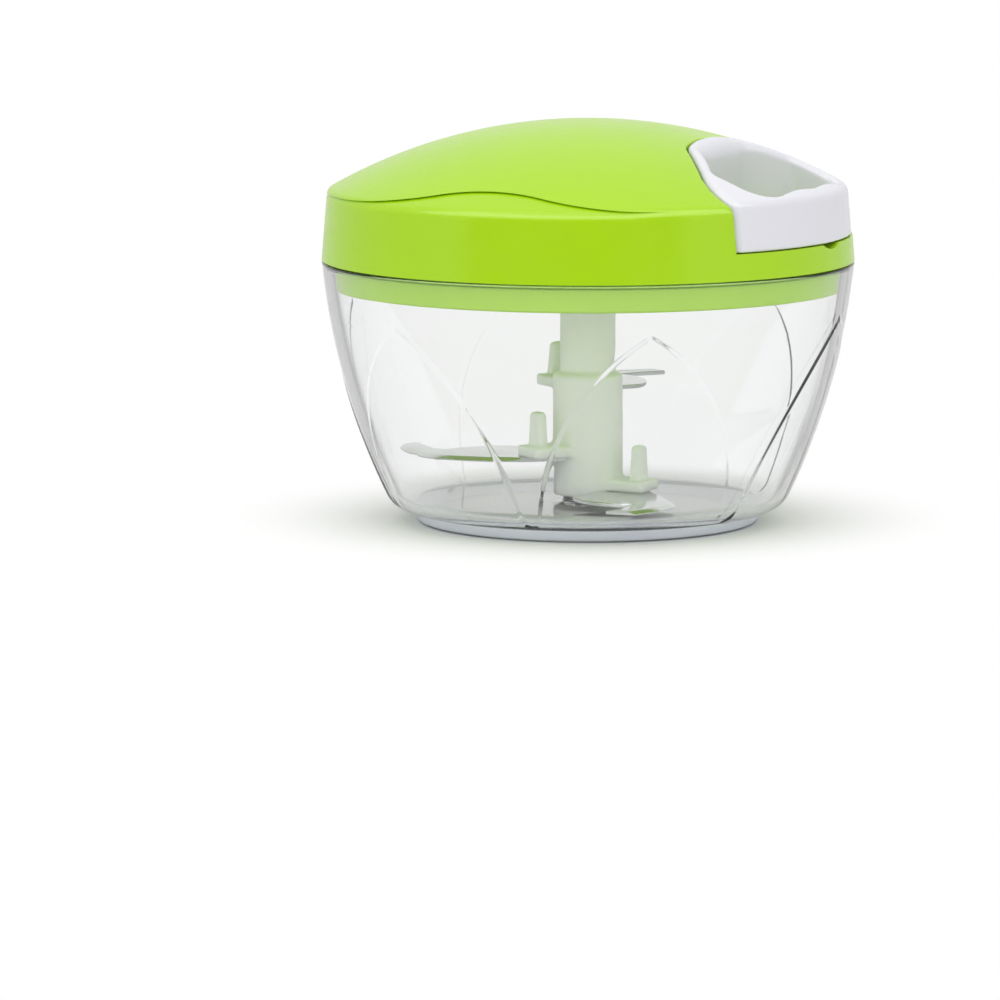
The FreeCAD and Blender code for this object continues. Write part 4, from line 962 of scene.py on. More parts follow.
        # The dome from the nest's edge to the axis
        nest = turn * np.linspace(0.0, 1.0, self.nest_columns) ** 0.9
        inside = np.interp(nest, angle[: widest + 1], reach[: widest + 1])
        s_nest = np.interp(-inside, -top_r, top_s)
        s_rows = rows_between(s_nest, top_s[-1], self.dome_rows)
        nose = round_points(np.interp(s_rows, top_s, top_r), nest, np.interp(s_rows, top_s, top_z))
        # The nest's edge: along the nose and flank, then out to the rim and down to the crease
        tail = np.concatenate([rim[::-1, 0], ledge[:0:-1, 0]]) if creased else rim[::-1, 0]
        top_line = np.concatenate([nose[0], tail[1:]])
        ways = np.gradient(top_line[:, :2], axis=0)
        ways /= np.maximum(np.linalg.norm(ways, axis=1)[:, None], WELD)
        ways[0] = (0.0, 1.0)
        inward = np.stack([ways[:, 1], -ways[:, 0]], axis=-1)
        left = np.linalg.norm(top_line[:, :2] - top_line[-1, :2], axis=1)
        fade = np.sqrt(1.0 - (1.0 - np.clip(left / max(self.edge, WELD), 0.0, 1.0)) ** 2)
        inward *= (self.edge * fade)[:, None]
        swing = np.linspace(0.0, math.pi / 2.0, 6)[:, None]
        roll = np.concatenate(
            [
                (top_line[None, :, :2] + inward[None] * np.sin(swing)[..., None]),
                (top_line[None, :, 2] - self.edge * fade * (1.0 - np.cos(swing)))[..., None],
            ],
            axis=-1,
        )
        edge_line = roll[-1]
        # The wall below that edge ends on the first column of the shoulder
        end = shoulder[::-1, 0]
        end = np.concatenate([ledge[:1, 0], end[1:]]) if creased else end[1:]
        drop = (edge_line[-1, 2] - end[:, 2]) / (edge_line[-1, 2] - self.floor)
        foot_line = np.concatenate(
            [edge_line[:, :2], np.full((len(edge_line), 1), self.floor)], axis=1
        )
        wall = edge_line[None] + (foot_line - edge_line)[None] * drop[:, None, None]
        near = np.clip(1.0 - left / 3.0, 0.0, 1.0) ** 2
        shift = end - wall[:, -1]
        wall = wall + shift[:, None, :] * near[None, :, None]
        wall = np.concatenate([edge_line[None], wall])
        foot_line = wall[-1]
        # Ledge under the handle and the band below its mouth
        mouth = float(np.arctan2(foot_line[-1, 1], foot_line[-1, 0]))
        mouth_radius = float(np.hypot(foot_line[-1, 0], foot_line[-1, 1]))
        fan = mouth * np.linspace(0.0, 1.0, len(foot_line))
        below_s = np.linspace(0.0, s_floor, 8)[:, None]
        below_r = np.interp(below_s, low_s, low_r)
        ends = np.arctan2(band[:, 0, 1], band[:, 0, 0])[:, None]
        front = round_points(below_r, ends * (fan / mouth), np.interp(below_s, low_s, low_z))
        rim_line = round_points(mouth_radius, fan, self.floor)
        t = np.linspace(0.0, 1.0, 24)[:, None, None]
        shelf = foot_line[None] + (rim_line - foot_line)[None] * t
        if self.notch_depth:
            bow = (self.notch_half**2 + self.notch_depth**2) / (2.0 * self.notch_depth)
            dip = np.sqrt(np.maximum(bow**2 - shelf[..., 1] ** 2, 0.0)) - (bow - self.notch_depth)
            dip = np.clip(dip, 0.0, None) * smooth_step((shelf[..., 0] - self.notch_start) / 0.6)
            shelf[..., 2] -= dip
            front[..., 2] -= dip[-1] * np.linspace(0.0, 1.0, len(front))[:, None] ** 2
        front[-1] = shelf[-1]
        more = [ledge] if creased else []
        more += [roll] if self.edge else []
        return [band, front, shoulder, rim, dome, nose, wall, shelf, *more]


@dataclass(frozen=True)
class LidCover:
    """Moulded green cover: outer skin with its two crescents, inner skin, post and screw bosses."""

    wall: float = 2.2
    shoulder_round: float = 3.1
    step: float = 0.5
    soft_round: float = 3.5
    nest_gap: float = 0.55
    nest_wall: float = 2.0
    floor: float = 70.25
    edge: float = 0.45
    post: Tuple[float, float, float] = (4.0, 69.6, 96.5)
    boss_circle: float = 46.0
    boss_radius: float = 4.0
    boss_foot: float = 64.2
    boss_top: float = 87.6
    boss_turns: Tuple[float, ...] = (75.0, -75.0, 145.0, -145.0)
    sharp: float = 38.0

    def make(self) -> bpy.types.Object:
        """Builds both skins, mirrors them across the middle plane and joins their feet.

        Returns:
            The cover, with its post and bosses.
        """
        outer = LidSkin(
            shoulder=DomeForm(rounding=self.shoulder_round, lowered=self.step),
            skin=DomeForm(),
            outset=self.nest_gap,
            floor=self.floor,
            edge=self.edge,
            crease=Crease(),
            soft=DomeForm(rounding=self.soft_round),
        )
        inner_form = DomeForm(
            inset=self.wall, rounding=self.shoulder_round - self.wall, lowered=self.step
        )
        inner = LidSkin(
            shoulder=inner_form,
            skin=inner_form,
            outset=self.nest_gap + self.nest_wall,
            floor=self.floor - self.nest_wall,
            edge=0.0,
            crease=None,
            notch_depth=0.0,
            crease_flat=74.0,
            nest_columns=outer.nest_columns + 6,
        )
        skin = Skin()
        feet = []
        sides = np.array([[1.0, 1.0, 1.0], [1.0, -1.0, 1.0]])
        for half in (outer, inner):
            grids = half.grids()
            for grid in grids:
                for side in sides:
                    skin.add(grid * side)
            feet.append((grids[0][0], grids[1][0]))
        t = np.linspace(0.0, 1.0, 5)[:, None, None]
        for first, last in zip(*feet):
            for side in sides:
                skin.add((first[None] + (last - first)[None] * t) * side)
        piece = skin.piece("lid_cover_skin", sharp=self.sharp)
        self.add_posts(piece)
        return piece

    @staticmethod
    def bar(radius: float, foot: float, top: float) -> Array:
        """Half section of a round bar with soft ends."""
        return rounded_outline([(0, foot, 0), (radius, foot, 0.4), (radius, top, 0.2), (0, top, 0)])

    def add_posts(self, piece: bpy.types.Object) -> None:
        """Adds the reel's post and the screw bosses, as round bars whose tops end in the dome's wall.

        Args:
            piece: the cover, which takes them into its mesh.
        """
        posts = Skin().spin(self.bar(*self.post), 48)
        bar, count = self.bar(self.boss_radius, self.boss_foot, self.boss_top), 32
        for turn in self.boss_turns:
            place = np.array([math.cos(math.radians(turn)), math.sin(math.radians(turn)), 0.0])
            boss = Skin().spin(bar, count).points[0].reshape(len(bar), count, 3)
            posts.add(boss + place * self.boss_circle, wrap=True)
        extra = posts.piece("lid_cover_posts")
        work = bmesh.new()
        work.from_mesh(piece.data)
        work.from_mesh(extra.data)
        work.to_mesh(piece.data)
        work.free()
        bpy.data.objects.remove(extra)
        piece.data.set_sharp_from_angle(angle=math.radians(self.sharp))


# Handle


@dataclass(frozen=True)
class PullHandle:
    """White grip that fills the nest, with rounded edges and its finger hole.

    The cosines are those of the angles between the outward normals where two faces meet.
    """

    plan: NestPlan = NestPlan()
    bottom: float = 70.5
    inset: float = 0.3
    proud: float = 0.7
    nose_round: float = 1.5
    band_round: float = 2.8
    hole_inner: float = 35.95
    hole_outer: float = 54.0
    hole_shoulder: float = 12.4
    hole_half: float = 24.0
    hole_flank: float = 43.9
    hole_corner: float = 3.2
    hole_turn: float = 7.5
    hole_lean: float = 4.0
    lean_foot: float = 72.0
    lean_rise: float = 13.0
    hole_edge: float = 1.7
    nose_edge: float = 3.3
    edge_run: float = 7.0
    foot_round: float = 0.5
    nose_cosine: float = 0.91
    band_cosine: float = 0.57
    edge_cosine: float = -0.1
    lattice: Lattice = Lattice((29.6, -34.8, 69.6), (66.2, 34.9, 95.4), 0.5)

    def outside(self, x: Array, y: Array, z: Array) -> Array:
        """Distance from the grip without its hole: flanks, nose, band and dome.

        Args:
            x: places along X.
            y: places along Y.
            z: heights.

        Returns:
            The distance at each place, negative inside.
        """
        form, lid = self.plan, DomeForm()
        lean = math.radians(form.slope)
        side = np.abs(y)
        radius = np.hypot(x, y)
        middle_y = form.half_width - form.turn_radius
        flank_x = form.turn_end - form.turn_radius * math.sin(lean)
        flank_y = middle_y + form.turn_radius * math.cos(lean)
        flank = (side - flank_y) * math.cos(lean) - (x - flank_x) * math.sin(lean)
        plan = meet(flank, side - form.half_width, form.turn_radius, math.cos(lean))
        corner_y = flank_y - (flank_x - form.nose - form.bow) * math.tan(lean)
        bow = (corner_y**2 + form.bow**2) / (2.0 * form.bow)
        nose = np.hypot(x - form.nose - bow, y) - bow
        plan = meet(plan, nose, form.corner, self.nose_cosine)
        slope = math.radians(lid.lean)
        band = (radius - lid.radius) * math.cos(slope) + (z - lid.seam) * math.sin(slope) + self.inset
        dome = np.sqrt(radius * radius + (z - lid.top + lid.dome) ** 2) - (lid.dome + self.proud)
        cap = meet(dome, band, self.band_round, self.band_cosine)
        return meet(plan, cap, self.nose_round)

    def flank(self, x: Array, y: Array) -> Array:
        """Distance from the hole's sloping sides.

        Args:
            x: places along X.
            y: places along Y.

        Returns:
            The distance at each place, negative between the sides.
        """
        run, rise = self.hole_flank - self.hole_inner, self.hole_half - self.hole_shoulder
        off = (np.abs(y) - self.hole_shoulder) * run - (x - self.hole_inner) * rise
        return off / math.hypot(run, rise)

    def edge(self, x: Array, y: Array) -> Array:
        """Rounding of the hole's edge: large at the nose, and small where a sloping side is nearer."""
        share = smooth_step((self.hole_inner - x - self.flank(x, y)) / self.edge_run + 0.5)
        return self.hole_edge + (self.nose_edge - self.hole_edge) * share

    def hole(self, x: Array, y: Array, z: Array) -> Array:
        """Distance from the finger hole. Its outer side leans outwards as it rises.

        Args:
            x: places along X.
            y: places along Y.
            z: heights.

        Returns:
            The distance at each place, negative inside.
        """
        run, rise = self.hole_flank - self.hole_inner, self.hole_half - self.hole_shoulder
        length = math.hypot(run, rise)
        shape = meet(self.hole_inner - x, self.flank(x, y), self.hole_corner, rise / length)
        shape = meet(shape, np.abs(y) - self.hole_half, self.hole_corner, run / length)
        lean = self.hole_lean * smooth_step((z - self.lean_foot) / self.lean_rise)
        return meet(shape, x - self.hole_outer - lean, self.hole_turn)

    def field(self, x: Array, y: Array, z: Array) -> Array:
        """Distance from the whole grip.

        Args:
            x: places along X.
            y: places along Y.
            z: heights.

        Returns:
            The distance at each place, negative inside.
        """
        outside, beyond_hole = self.outside(x, y, z), -self.hole(x, y, z)
        grip = meet(outside, beyond_hole, self.edge(x, y), self.edge_cosine)
        return meet(grip, self.bottom - z, self.foot_round)

    def make(self) -> bpy.types.Object:
        """Builds the grip."""
        return self.lattice.piece("handle_grip", self.field)


# Bowl


@dataclass(frozen=True)
class ClearBowl:
    """Clear bowl: curved wall with six raised petal arches, a floor with its boss, and a soft rim."""

    rim: float = 64.98
    rim_height: float = 63.7
    curve: float = 170.0
    lean: float = 5.5
    corner: float = 8.0
    underside: float = 2.6
    wall: float = 2.4
    petals: int = 6
    petal_turn: float = 8.3
    petal_half: float = 22.6
    petal_spring: float = 12.0
    petal_tip: float = 51.5
    relief: float = 0.26
    ramp: float = 1.2
    fade_start: float = 0.4
    fade_run: float = 2.5
    lip: float = 0.5
    boss_radius: float = 6.0
    boss_height: float = 1.2
    least_reach: float = 30.0
    widest: float = 0.58
    edge_band: float = 1.15
    edge_room: Pair = (1.6, 1.3)
    run_columns: int = 9

    def section(self, inset: float) -> Array:
        """Outline of the wall's outer or inner side from the floor's middle up to the rim.

        It is a level floor, a corner arc and the long arc, sampled evenly on each run.

        Args:
            inset: how far it lies inside the outer side.

        Returns:
            Radius and height of each point.
        """
        lean = math.radians(self.lean)
        middle = np.array(
            [self.rim - self.curve * math.cos(lean), self.rim_height + self.curve * math.sin(lean)]
        )
        inner = self.curve - self.corner
        drop = middle[1] - self.underside - self.corner
        corner_r = middle[0] + math.sqrt(inner**2 - drop**2)
        corner_z = self.underside + self.corner
        low = math.atan2(corner_z - middle[1], corner_r - middle[0])
        reach = self.curve - inset
        high = -math.asin((middle[1] - self.rim_height) / reach)
        small = self.corner - inset
        turn = np.linspace(-math.pi / 2.0, low, 14)
        bend = arc_points((corner_r, corner_z), small, turn)
        long = arc_points(middle, reach, np.linspace(low, high, 96)[1:])
        flat = np.linspace([0.0, bend[0, 1]], bend[0], 9)[:-1]
        return np.concatenate([flat, bend, long])

    def arch(self, across: Array, height: Array) -> Array:
        """How deep a point lies inside a petal arch.

        It is the arch's radius less the distance from its centre, which lies beyond the middle of
        the other side.

        Args:
            across: distance from the petal's middle.
            height: heights.

        Returns:
            The depth at each point, negative outside.
        """
        rise = self.petal_tip - self.petal_spring
        radius = (self.petal_half**2 + rise**2) / (2.0 * self.petal_half)
        shift = radius - self.petal_half
        return radius - np.hypot(np.abs(across) + shift, np.maximum(height - self.petal_spring, 0.0))

    def columns(self, radius: Array, height: Array) -> Array:
        """Directions of the columns on each row, bunched where the arches' edges cross the row.

        A half petal's share of the ring is split into three runs: inside the arch, across its edge
        and outside it. Above the tip the runs keep their last widths.

        Args:
            radius: radius of each row.
            height: height of each row.

        Returns:
            Directions in radians, rows by columns.
        """
        half = math.pi / self.petals
        rise = self.petal_tip - self.petal_spring
        bend = (self.petal_half**2 + rise**2) / (2.0 * self.petal_half)
        up = np.clip(height - self.petal_spring, 0.0, rise)
        width = np.sqrt(bend**2 - up**2) - (bend - self.petal_half)
        reach = np.maximum(radius, self.least_reach)
        edge = np.arcsin(np.clip(width / reach, 0.0, self.widest))
        band = self.edge_band * self.ramp / reach
        edge = np.clip(edge, self.edge_room[0] * band, half - self.edge_room[1] * band)
        stops = (np.zeros_like(edge), edge - band, edge + band, np.full_like(edge, half))
        t = np.linspace(0.0, 1.0, self.run_columns, endpoint=False)
        steps = [
            first[:, None] + (last - first)[:, None] * t for first, last in zip(stops, stops[1:])
        ]
        side = np.concatenate([*steps, np.full((len(edge), 1), half)], axis=1)
        sector = np.concatenate([side, 2.0 * half - side[:, -2:0:-1]], axis=1)
        turns = math.radians(self.petal_turn) + 2.0 * half * np.arange(self.petals)
        return (turns[:, None, None] + sector[None]).transpose(1, 0, 2).reshape(len(edge), -1)

    def make(self) -> bpy.types.Object:
        """Builds the bowl.

        The outer side is pushed out along the wall's normal by the relief times a smooth step of the
        depth inside an arch.

        Returns:
            The bowl.
        """
        outer, inner = self.section(0.0), self.section(self.wall)
        slopes = np.gradient(outer, axis=0)
        slopes /= np.linalg.norm(slopes, axis=1)[:, None]
        normal = np.stack([slopes[:, 1], -slopes[:, 0]], axis=-1)
        radius, height = outer[:, 0], outer[:, 1]
        angle = self.columns(radius, height)
        half = math.pi / self.petals
        off = np.mod(angle - math.radians(self.petal_turn) + half, 2.0 * half) - half
        inside = self.arch(radius[:, None] * np.sin(off), height[:, None])
        raised = self.relief * smooth_step(inside / self.ramp + 0.5)
        raised *= smooth_step(
            (height[:, None] - self.underside + self.fade_start) / self.fade_run
        )
        r = radius[:, None] + raised * normal[:, :1]
        z = height[:, None] + raised * normal[:, 1:]
        top_r = r[-1:]
        wall = round_points(r, angle, z)
        wall[-1, :, 2] = self.rim_height - self.lip
        t = np.linspace(0.0, 1.0, 8)[1:, None]
        last = angle[-1:]
        reach = inner[-1, 0]
        # Lip: out and up over a soft edge, level across, and down again
        up, over = np.sin(t * math.pi / 2.0), np.cos(t * math.pi / 2.0)
        lip_r = np.concatenate([top_r - self.lip * (1 - over), reach + self.lip * (1 - up) + 0.0 * last])
        lip_z = self.rim_height - self.lip * np.concatenate([1 - up, 1 - over])
        lip = round_points(lip_r, last, lip_z)
        inner = inner[inner[:, 1] < self.rim_height - self.lip]
        inner = np.concatenate([inner, [[reach, self.rim_height - self.lip]]])[::-1]
        inner = inner[inner[:, 0] > self.boss_radius + 1.0]
        floor = self.underside + self.wall
        top = floor + self.boss_height
        boss = rounded_outline(
            [
                (inner[-1, 0], floor, 0.0),
                (self.boss_radius, floor, 0.5),
                (self.boss_radius, top, 0.4),
                (0.0, top, 0.0),
            ]
        )
        inner = np.concatenate([inner, boss[1:]])
        grid = np.concatenate([wall, lip, round_points(inner[:, :1], last, inner[:, 1:])])
        return Skin().add(grid, wrap=True).piece("bowl_wall", sharp=50.0)


@dataclass(frozen=True)
class FootRing:
    """Milky ring that the bowl stands on."""

    radius: float = 41.4
    flare: float = 1.0
    width: float = 2.9
    height: float = 2.58

    def make(self) -> bpy.types.Object:
        """Builds the ring by turning its rounded section.

        Returns:
            The piece.
        """
        inner = self.radius - self.width
        outline = rounded_outline(
            [
                (inner + 1.0, 0.0, 0.0),
                (self.radius, 0.0, 0.7),
                (self.radius + self.flare, self.height, 0.3),
                (inner, self.height, 0.3),
                (inner, 0.0, 0.6),
                (inner + 1.0, 0.0, 0.0),
            ]
        )
        return Skin().spin(outline, 160).piece("foot_band")


@dataclass(frozen=True)
class SealSkirt:
    """Soft band round the plug, which closes the gap to the wall under the lid."""

    radius: float = 61.9
    foot_radius: float = 61.3
    top: float = 63.0
    foot: float = 57.3
    inner: float = 60.02

    def make(self) -> bpy.types.Object:
        """Builds the band by turning its rounded section.

        Returns:
            The piece.
        """
        outline = rounded_outline(
            [
                (self.inner, self.foot + 1.0, 0.0),
                (self.inner, self.foot, 0.2),
                (self.foot_radius, self.foot, 0.5),
                (self.radius, self.top, 0.5),
                (self.inner, self.top, 0.2),
                (self.inner, self.foot + 1.0, 0.0),
            ]
        )
        return Skin().spin(outline, 160).piece("seal_skirt")


# Blades and their shaft


@dataclass(frozen=True)
class Blade:
    """One stamped blade: a plan between a cutting edge and a back, with the edge ground on top.

    Its plan runs along X from the root, then swings to the tip. The cutting edge goes from root over
    swell and knee to the tip, the back from root over heel and throat to the tip's back.
    """

    name: str
    height: float
    turn: float
    share: float = 1.0
    thickness: float = 1.0
    bevel: float = 1.6
    grind: float = 0.75
    root: Pair = (5.6, 3.6)
    swell: Pair = (16.5, 0.9)
    knee: Pair = (35.0, -18.5)
    tip: Pair = (32.9, -36.5)
    heel: Pair = (5.5, -18.1)
    throat: Pair = (26.4, -24.0)
    tip_width: Pair = (6.8, 1.7)
    front_radii: Tuple[float, float, float] = (200.0, 40.0, 38.0)
    back_radii: Pair = (17.0, 26.0)
    rows: int = 90
    grind_start: float = 0.22
    grind_run: float = 0.06
    soft: float = 0.15
    ground_soft: Pair = (0.12, 0.03)

    @staticmethod
    def arc(start: Array, end: Array, radius: float, left: bool, steps: int) -> Array:
        """Arc of a radius between two points.

        Args:
            start: where it starts.
            end: where it ends.
            radius: its radius.
            left: whether its centre lies to the left of the way from start to end.
            steps: how many points it gets.

        Returns:
            Its points.
        """
        middle, chord = (start + end) / 2.0, end - start
        length = np.linalg.norm(chord)
        side = np.array([-chord[1], chord[0]]) / length * (1.0 if left else -1.0)
        centre = middle + side * math.sqrt(max(radius**2 - length**2 / 4.0, 0.0))
        first = math.atan2(*(start - centre)[::-1])
        last = math.atan2(*(end - centre)[::-1])
        sweep = (last - first + math.pi) % (2.0 * math.pi) - math.pi
        turn = first + sweep * np.linspace(0.0, 1.0, steps)
        return arc_points(centre, radius, turn)

    @staticmethod
    def evenly(points: Array, count: int) -> Array:
        """Takes points at even distances along a line of points.

        Args:
            points: the line.
            count: how many points to take.

        Returns:
            The points taken.
        """
        gaps = np.linalg.norm(np.diff(points, axis=0), axis=1)
        s = np.concatenate([[0.0], np.cumsum(gaps)])
        at = np.linspace(0.0, s[-1], count)
        return np.stack([np.interp(at, s, points[:, 0]), np.interp(at, s, points[:, 1])], axis=-1)

    def make(self) -> bpy.types.Object:
        """Builds the blade.

        Rows run from root to tip, and each row goes round the section, from the back over the top,
        down the ground edge and back below. A share under 1 brings knee, throat and tip inwards.

        Returns:
            The blade.
        """
        root, swell, heel = np.array(self.root), np.array(self.swell), np.array(self.heel)
        knee, throat, tip = (np.array(p) * self.share for p in (self.knee, self.throat, self.tip))
        front = np.concatenate(
            [
                self.arc(root, swell, self.front_radii[0], False, 12)[:-1],
                self.arc(swell, knee, self.front_radii[1], False, 40)[:-1],
                self.arc(knee, tip, self.front_radii[2], False, 40),
            ]
        )
        back = np.concatenate(
            [
                np.linspace(root * [1.0, -1.0], heel, 12)[:-1],
                self.arc(heel, throat, self.back_radii[0], True, 50)[:-1],
                self.arc(throat, tip - np.array(self.tip_width), self.back_radii[1], False, 40),
            ]
        )
        rows, soft = self.rows, self.soft
        front, back = self.evenly(front, rows), self.evenly(back, rows)
        across = front - back
        width = np.linalg.norm(across, axis=1)[:, None]
        way = across / width
        along = np.arange(rows) / rows
        reach = np.clip((along - self.grind_start) / self.grind_run, 0.0, 1.0)[:, None]
        low = self.height + self.thickness * (1.0 - self.grind * reach[:, 0])
        top, foot = self.height + self.thickness, self.height
        shoulder = front - way * self.bevel * reach
        lines = [
            (back, foot + soft),
            (back, top - soft),
            (back + way * soft, top),
            (shoulder - way * self.ground_soft[0], top),
            (shoulder, top - self.ground_soft[1]),
            (front, low),
            (front, foot),
            (back + way * soft, foot),
        ]
        grid = np.stack(
            [np.column_stack([line, np.broadcast_to(level, rows)]) for line, level in lines], axis=1
        )
        middle = np.broadcast_to(grid.mean(axis=1, keepdims=True), grid.shape)
        grid = np.concatenate([middle[:1], grid, middle[-1:]])
        angle = math.radians(self.turn)
        x, y, z = np.moveaxis(grid, -1, 0)
        turned_x = x * math.cos(angle) - y * math.sin(angle)
        turned_y = x * math.sin(angle) + y * math.cos(angle)
        grid = np.stack([turned_x, turned_y, z], axis=-1)
        return Skin().add(grid, wrap=True).piece(self.name, sharp=20.0)


@dataclass(frozen=True)
class BladeShaft:
    """Pale turning column with an arm and an upright tab above each blade.

    Each arm is given by the height of its underside, its direction and the height of its tab.
    """

    foot: float = 6.6
    column: float = 8.5
    neck: float = 6.75
    neck_height: float = 36.8
    top: float = 59.5
    socket: float = 8.3
    socket_depth: float = 10.5
    bore: float = 3.6
    bore_top: float = 17.2
    arm_half: float = 5.0
    arm_reach: float = 17.5
    arm_thickness: float = 2.6
    tab_inner: float = 13.0
    tab_outer: float = 15.4
    tab_foot: float = 2.9
    tab_top: float = 2.2
    tab_round: float = 1.3
    tab_sink: float = 0.6
    arm_round: float = 1.4
    arm_edge: float = 0.45
    arm_fillet: float = 0.9
    neck_step: float = 0.4
    neck_round: float = 1.4
    top_round: float = 0.6
    fillet: float = 0.8
    edge: float = 0.5
    lattice: Lattice = Lattice((-18.4, -18.4, 5.9), (18.8, 18.8, 60.4), 0.5)
    arms: Tuple[Tuple[float, float, float], ...] = (
        (8.2, -3.5, 8.4),
        (16.4, -123.5, 8.4),
        (31.8, 144.5, 8.0),
    )

    def arm(self, x: Array, y: Array, z: Array, foot: float, turn: float, tall: float) -> Array:
        """Distance from one arm with its tab.

        Both are boxes in the arm's own directions, and the tab narrows upwards to a round top.

        Args:
            x: places along X.
            y: places along Y.
            z: heights.
            foot: height of the arm's underside.
            turn: direction of the arm in degrees.
            tall: height of the tab above the arm.

        Returns:
            The distance at each place, negative inside.
        """
        angle = math.radians(turn)
        out = x * math.cos(angle) + y * math.sin(angle)
        across = np.abs(y * math.cos(angle) - x * math.sin(angle))
        top = foot + self.arm_thickness
        plan = meet(out - self.arm_reach, across - self.arm_half, self.arm_round)
        plan = np.maximum(plan, -out)
        level = np.abs(z - (foot + top) / 2.0) - self.arm_thickness / 2.0
        plate = meet(plan, level, self.arm_edge)
        centre = (self.tab_inner + self.tab_outer) / 2.0
        half = (self.tab_outer - self.tab_inner) / 2.0
        share = np.clip((z - top) / (tall - self.tab_top), 0.0, 1.0)
        width = self.tab_foot + (self.tab_top - self.tab_foot) * share
        tab = meet(across - width, z - (top + tall), self.tab_round)
        tab = meet(tab, np.abs(out - centre) - half, self.edge)
        tab = np.maximum(tab, foot + self.tab_sink - z)
        return fuse(plate, tab, self.fillet)

    def field(self, x: Array, y: Array, z: Array) -> Array:
        """Distance from the shaft.

        Args:
            x: places along X.
            y: places along Y.
            z: heights.

        Returns:
            The distance at each place, negative inside.
        """
        radius = np.hypot(x, y)
        lower = meet(radius - self.column, z - self.neck_height + self.neck_step, self.neck_round)
        upper = meet(radius - self.neck, z - self.top, self.top_round)
        shaft = fuse(lower, upper, self.fillet)
        for foot, turn, tall in self.arms:
            shaft = fuse(shaft, self.arm(x, y, z, foot, turn, tall), self.arm_fillet)
        face = math.pi / 3.0
        off = np.mod(np.arctan2(y, x), face) - face / 2.0
        hexagon = radius * np.cos(off) - self.socket / 2.0
        hollow = np.maximum(hexagon, self.top - self.socket_depth - z)
        shaft = meet(shaft, -hollow, self.edge)
        bore = np.maximum(radius - self.bore, z - self.bore_top)
        shaft = meet(shaft, -bore, self.edge)
        return meet(shaft, self.foot - z, self.edge)

    def make(self) -> bpy.types.Object:
        """Builds the shaft."""
        return self.lattice.piece("shaft_column", self.field)


# Cord


@dataclass(frozen=True)
class PullCord:
    """Braided cord: its free end through the eyelet to the knot, and its turns on the drum."""

    radius: float = 0.9
    drum: float = 20.92
    height: float = 78.4
    corner: float = 28.2
    bend: float = 3.0
    knot: float = 33.35
    knot_radius: float = 1.45
    turns: float = 4.6
    knot_wave: float = 0.05
    pressed: float = 0.99

    @staticmethod
    def tube(skin: Skin, line: Array, radius: Array, sides: int) -> None:
        """Sweeps a circle along a line that is nearly level, and closes both ends on the line.

        The circle lies in the plane of the line's two normals, one of which is level.

        Args:
            skin: the skin that takes the tube.
            line: points of the line.
            radius: radius at each point.
            sides: how many points each circle gets.
        """
        way = np.gradient(line, axis=0)
        way /= np.linalg.norm(way, axis=1)[:, None]
        level = np.cross(np.array([0.0, 0.0, 1.0]), way)
        level /= np.linalg.norm(level, axis=1)[:, None]
        up = np.cross(way, level)
        turn = np.linspace(0.0, 2.0 * math.pi, sides, endpoint=False)
        ring = np.cos(turn)[None, :, None] * level[:, None] + np.sin(turn)[None, :, None] * up[:, None]
        grid = line[:, None] + ring * radius[:, None, None]
        caps = [np.repeat(line[:1, None], sides, axis=1), np.repeat(line[-1:, None], sides, axis=1)]
        skin.add(np.concatenate([caps[0], grid, caps[1]]), wrap=True)

    def lead(self) -> bpy.types.Object:
        """Free end: straight off the drum, round the eyelet's mouth and straight to the knot.

        Returns:
            The piece.
        """
        run = math.sqrt(self.corner**2 - self.drum**2)
        leave = np.array([self.drum**2 / self.corner, -self.drum * run / self.corner])
        corner = np.array([self.corner, 0.0])
        way = corner - leave
        way /= np.linalg.norm(way)
        back = self.bend * way[1] / (1.0 + way[0])
        bend_in = corner - way * back
        bend_out = np.array([self.corner + back, 0.0])
        curve = bridge(bend_in, corner, bend_out, np.linspace(0.0, 1.0, 10)[:, None])
        plan = np.concatenate(
            [
                np.linspace(leave, bend_in, 10)[:-1],
                curve,
                np.linspace(bend_out, [self.knot, 0.0], 40)[1:],
            ]
        )
        line = np.column_stack([plan, np.full(len(plan), self.height)])
        radius = np.full(len(line), self.radius)
        skin = Skin()
        self.tube(skin, line, radius, 16)
        swing = np.linspace(-math.pi / 2.0, math.pi / 2.0, 14)
        turn = np.linspace(0.0, 2.0 * math.pi, 24, endpoint=False)
        wave = np.sin(3.0 * turn[None] + 4.0 * swing[:, None])
        size = self.knot_radius * (1.0 + self.knot_wave * wave - self.knot_wave)
        ball = np.stack(
            [
                self.knot + size * np.sin(swing)[:, None],
                size * np.cos(swing)[:, None] * np.cos(turn),
                self.height + size * np.cos(swing)[:, None] * np.sin(turn),
            ],
            axis=-1,
        )
        ball[0], ball[-1] = ball[0].mean(axis=0), ball[-1].mean(axis=0)
        skin.add(ball, wrap=True)
        return skin.piece("cord_free_end")

    def winding(self) -> bpy.types.Object:
        """Turns on the drum: a helix that climbs one cord's width each turn.

        Returns:
            The piece.
        """
        start = -math.acos(self.drum / self.corner)
        turn = start - np.linspace(0.0, 2.0 * math.pi * self.turns, 220)
        rise = (turn[0] - turn) / (2.0 * math.pi) * 2.0 * self.radius
        line = round_points(self.drum, turn, self.height - self.radius * self.turns + rise)
        skin = Skin()
        self.tube(skin, line, np.full(len(line), self.radius * self.pressed), 12)
        return skin.piece("cord_turns")


# Finishes of this object


LIME = linear(164, 209, 8)
PALE_LIME = linear(200, 252, 88)
WHITE = linear(220, 220, 226)
MINT = linear(246, 254, 243)

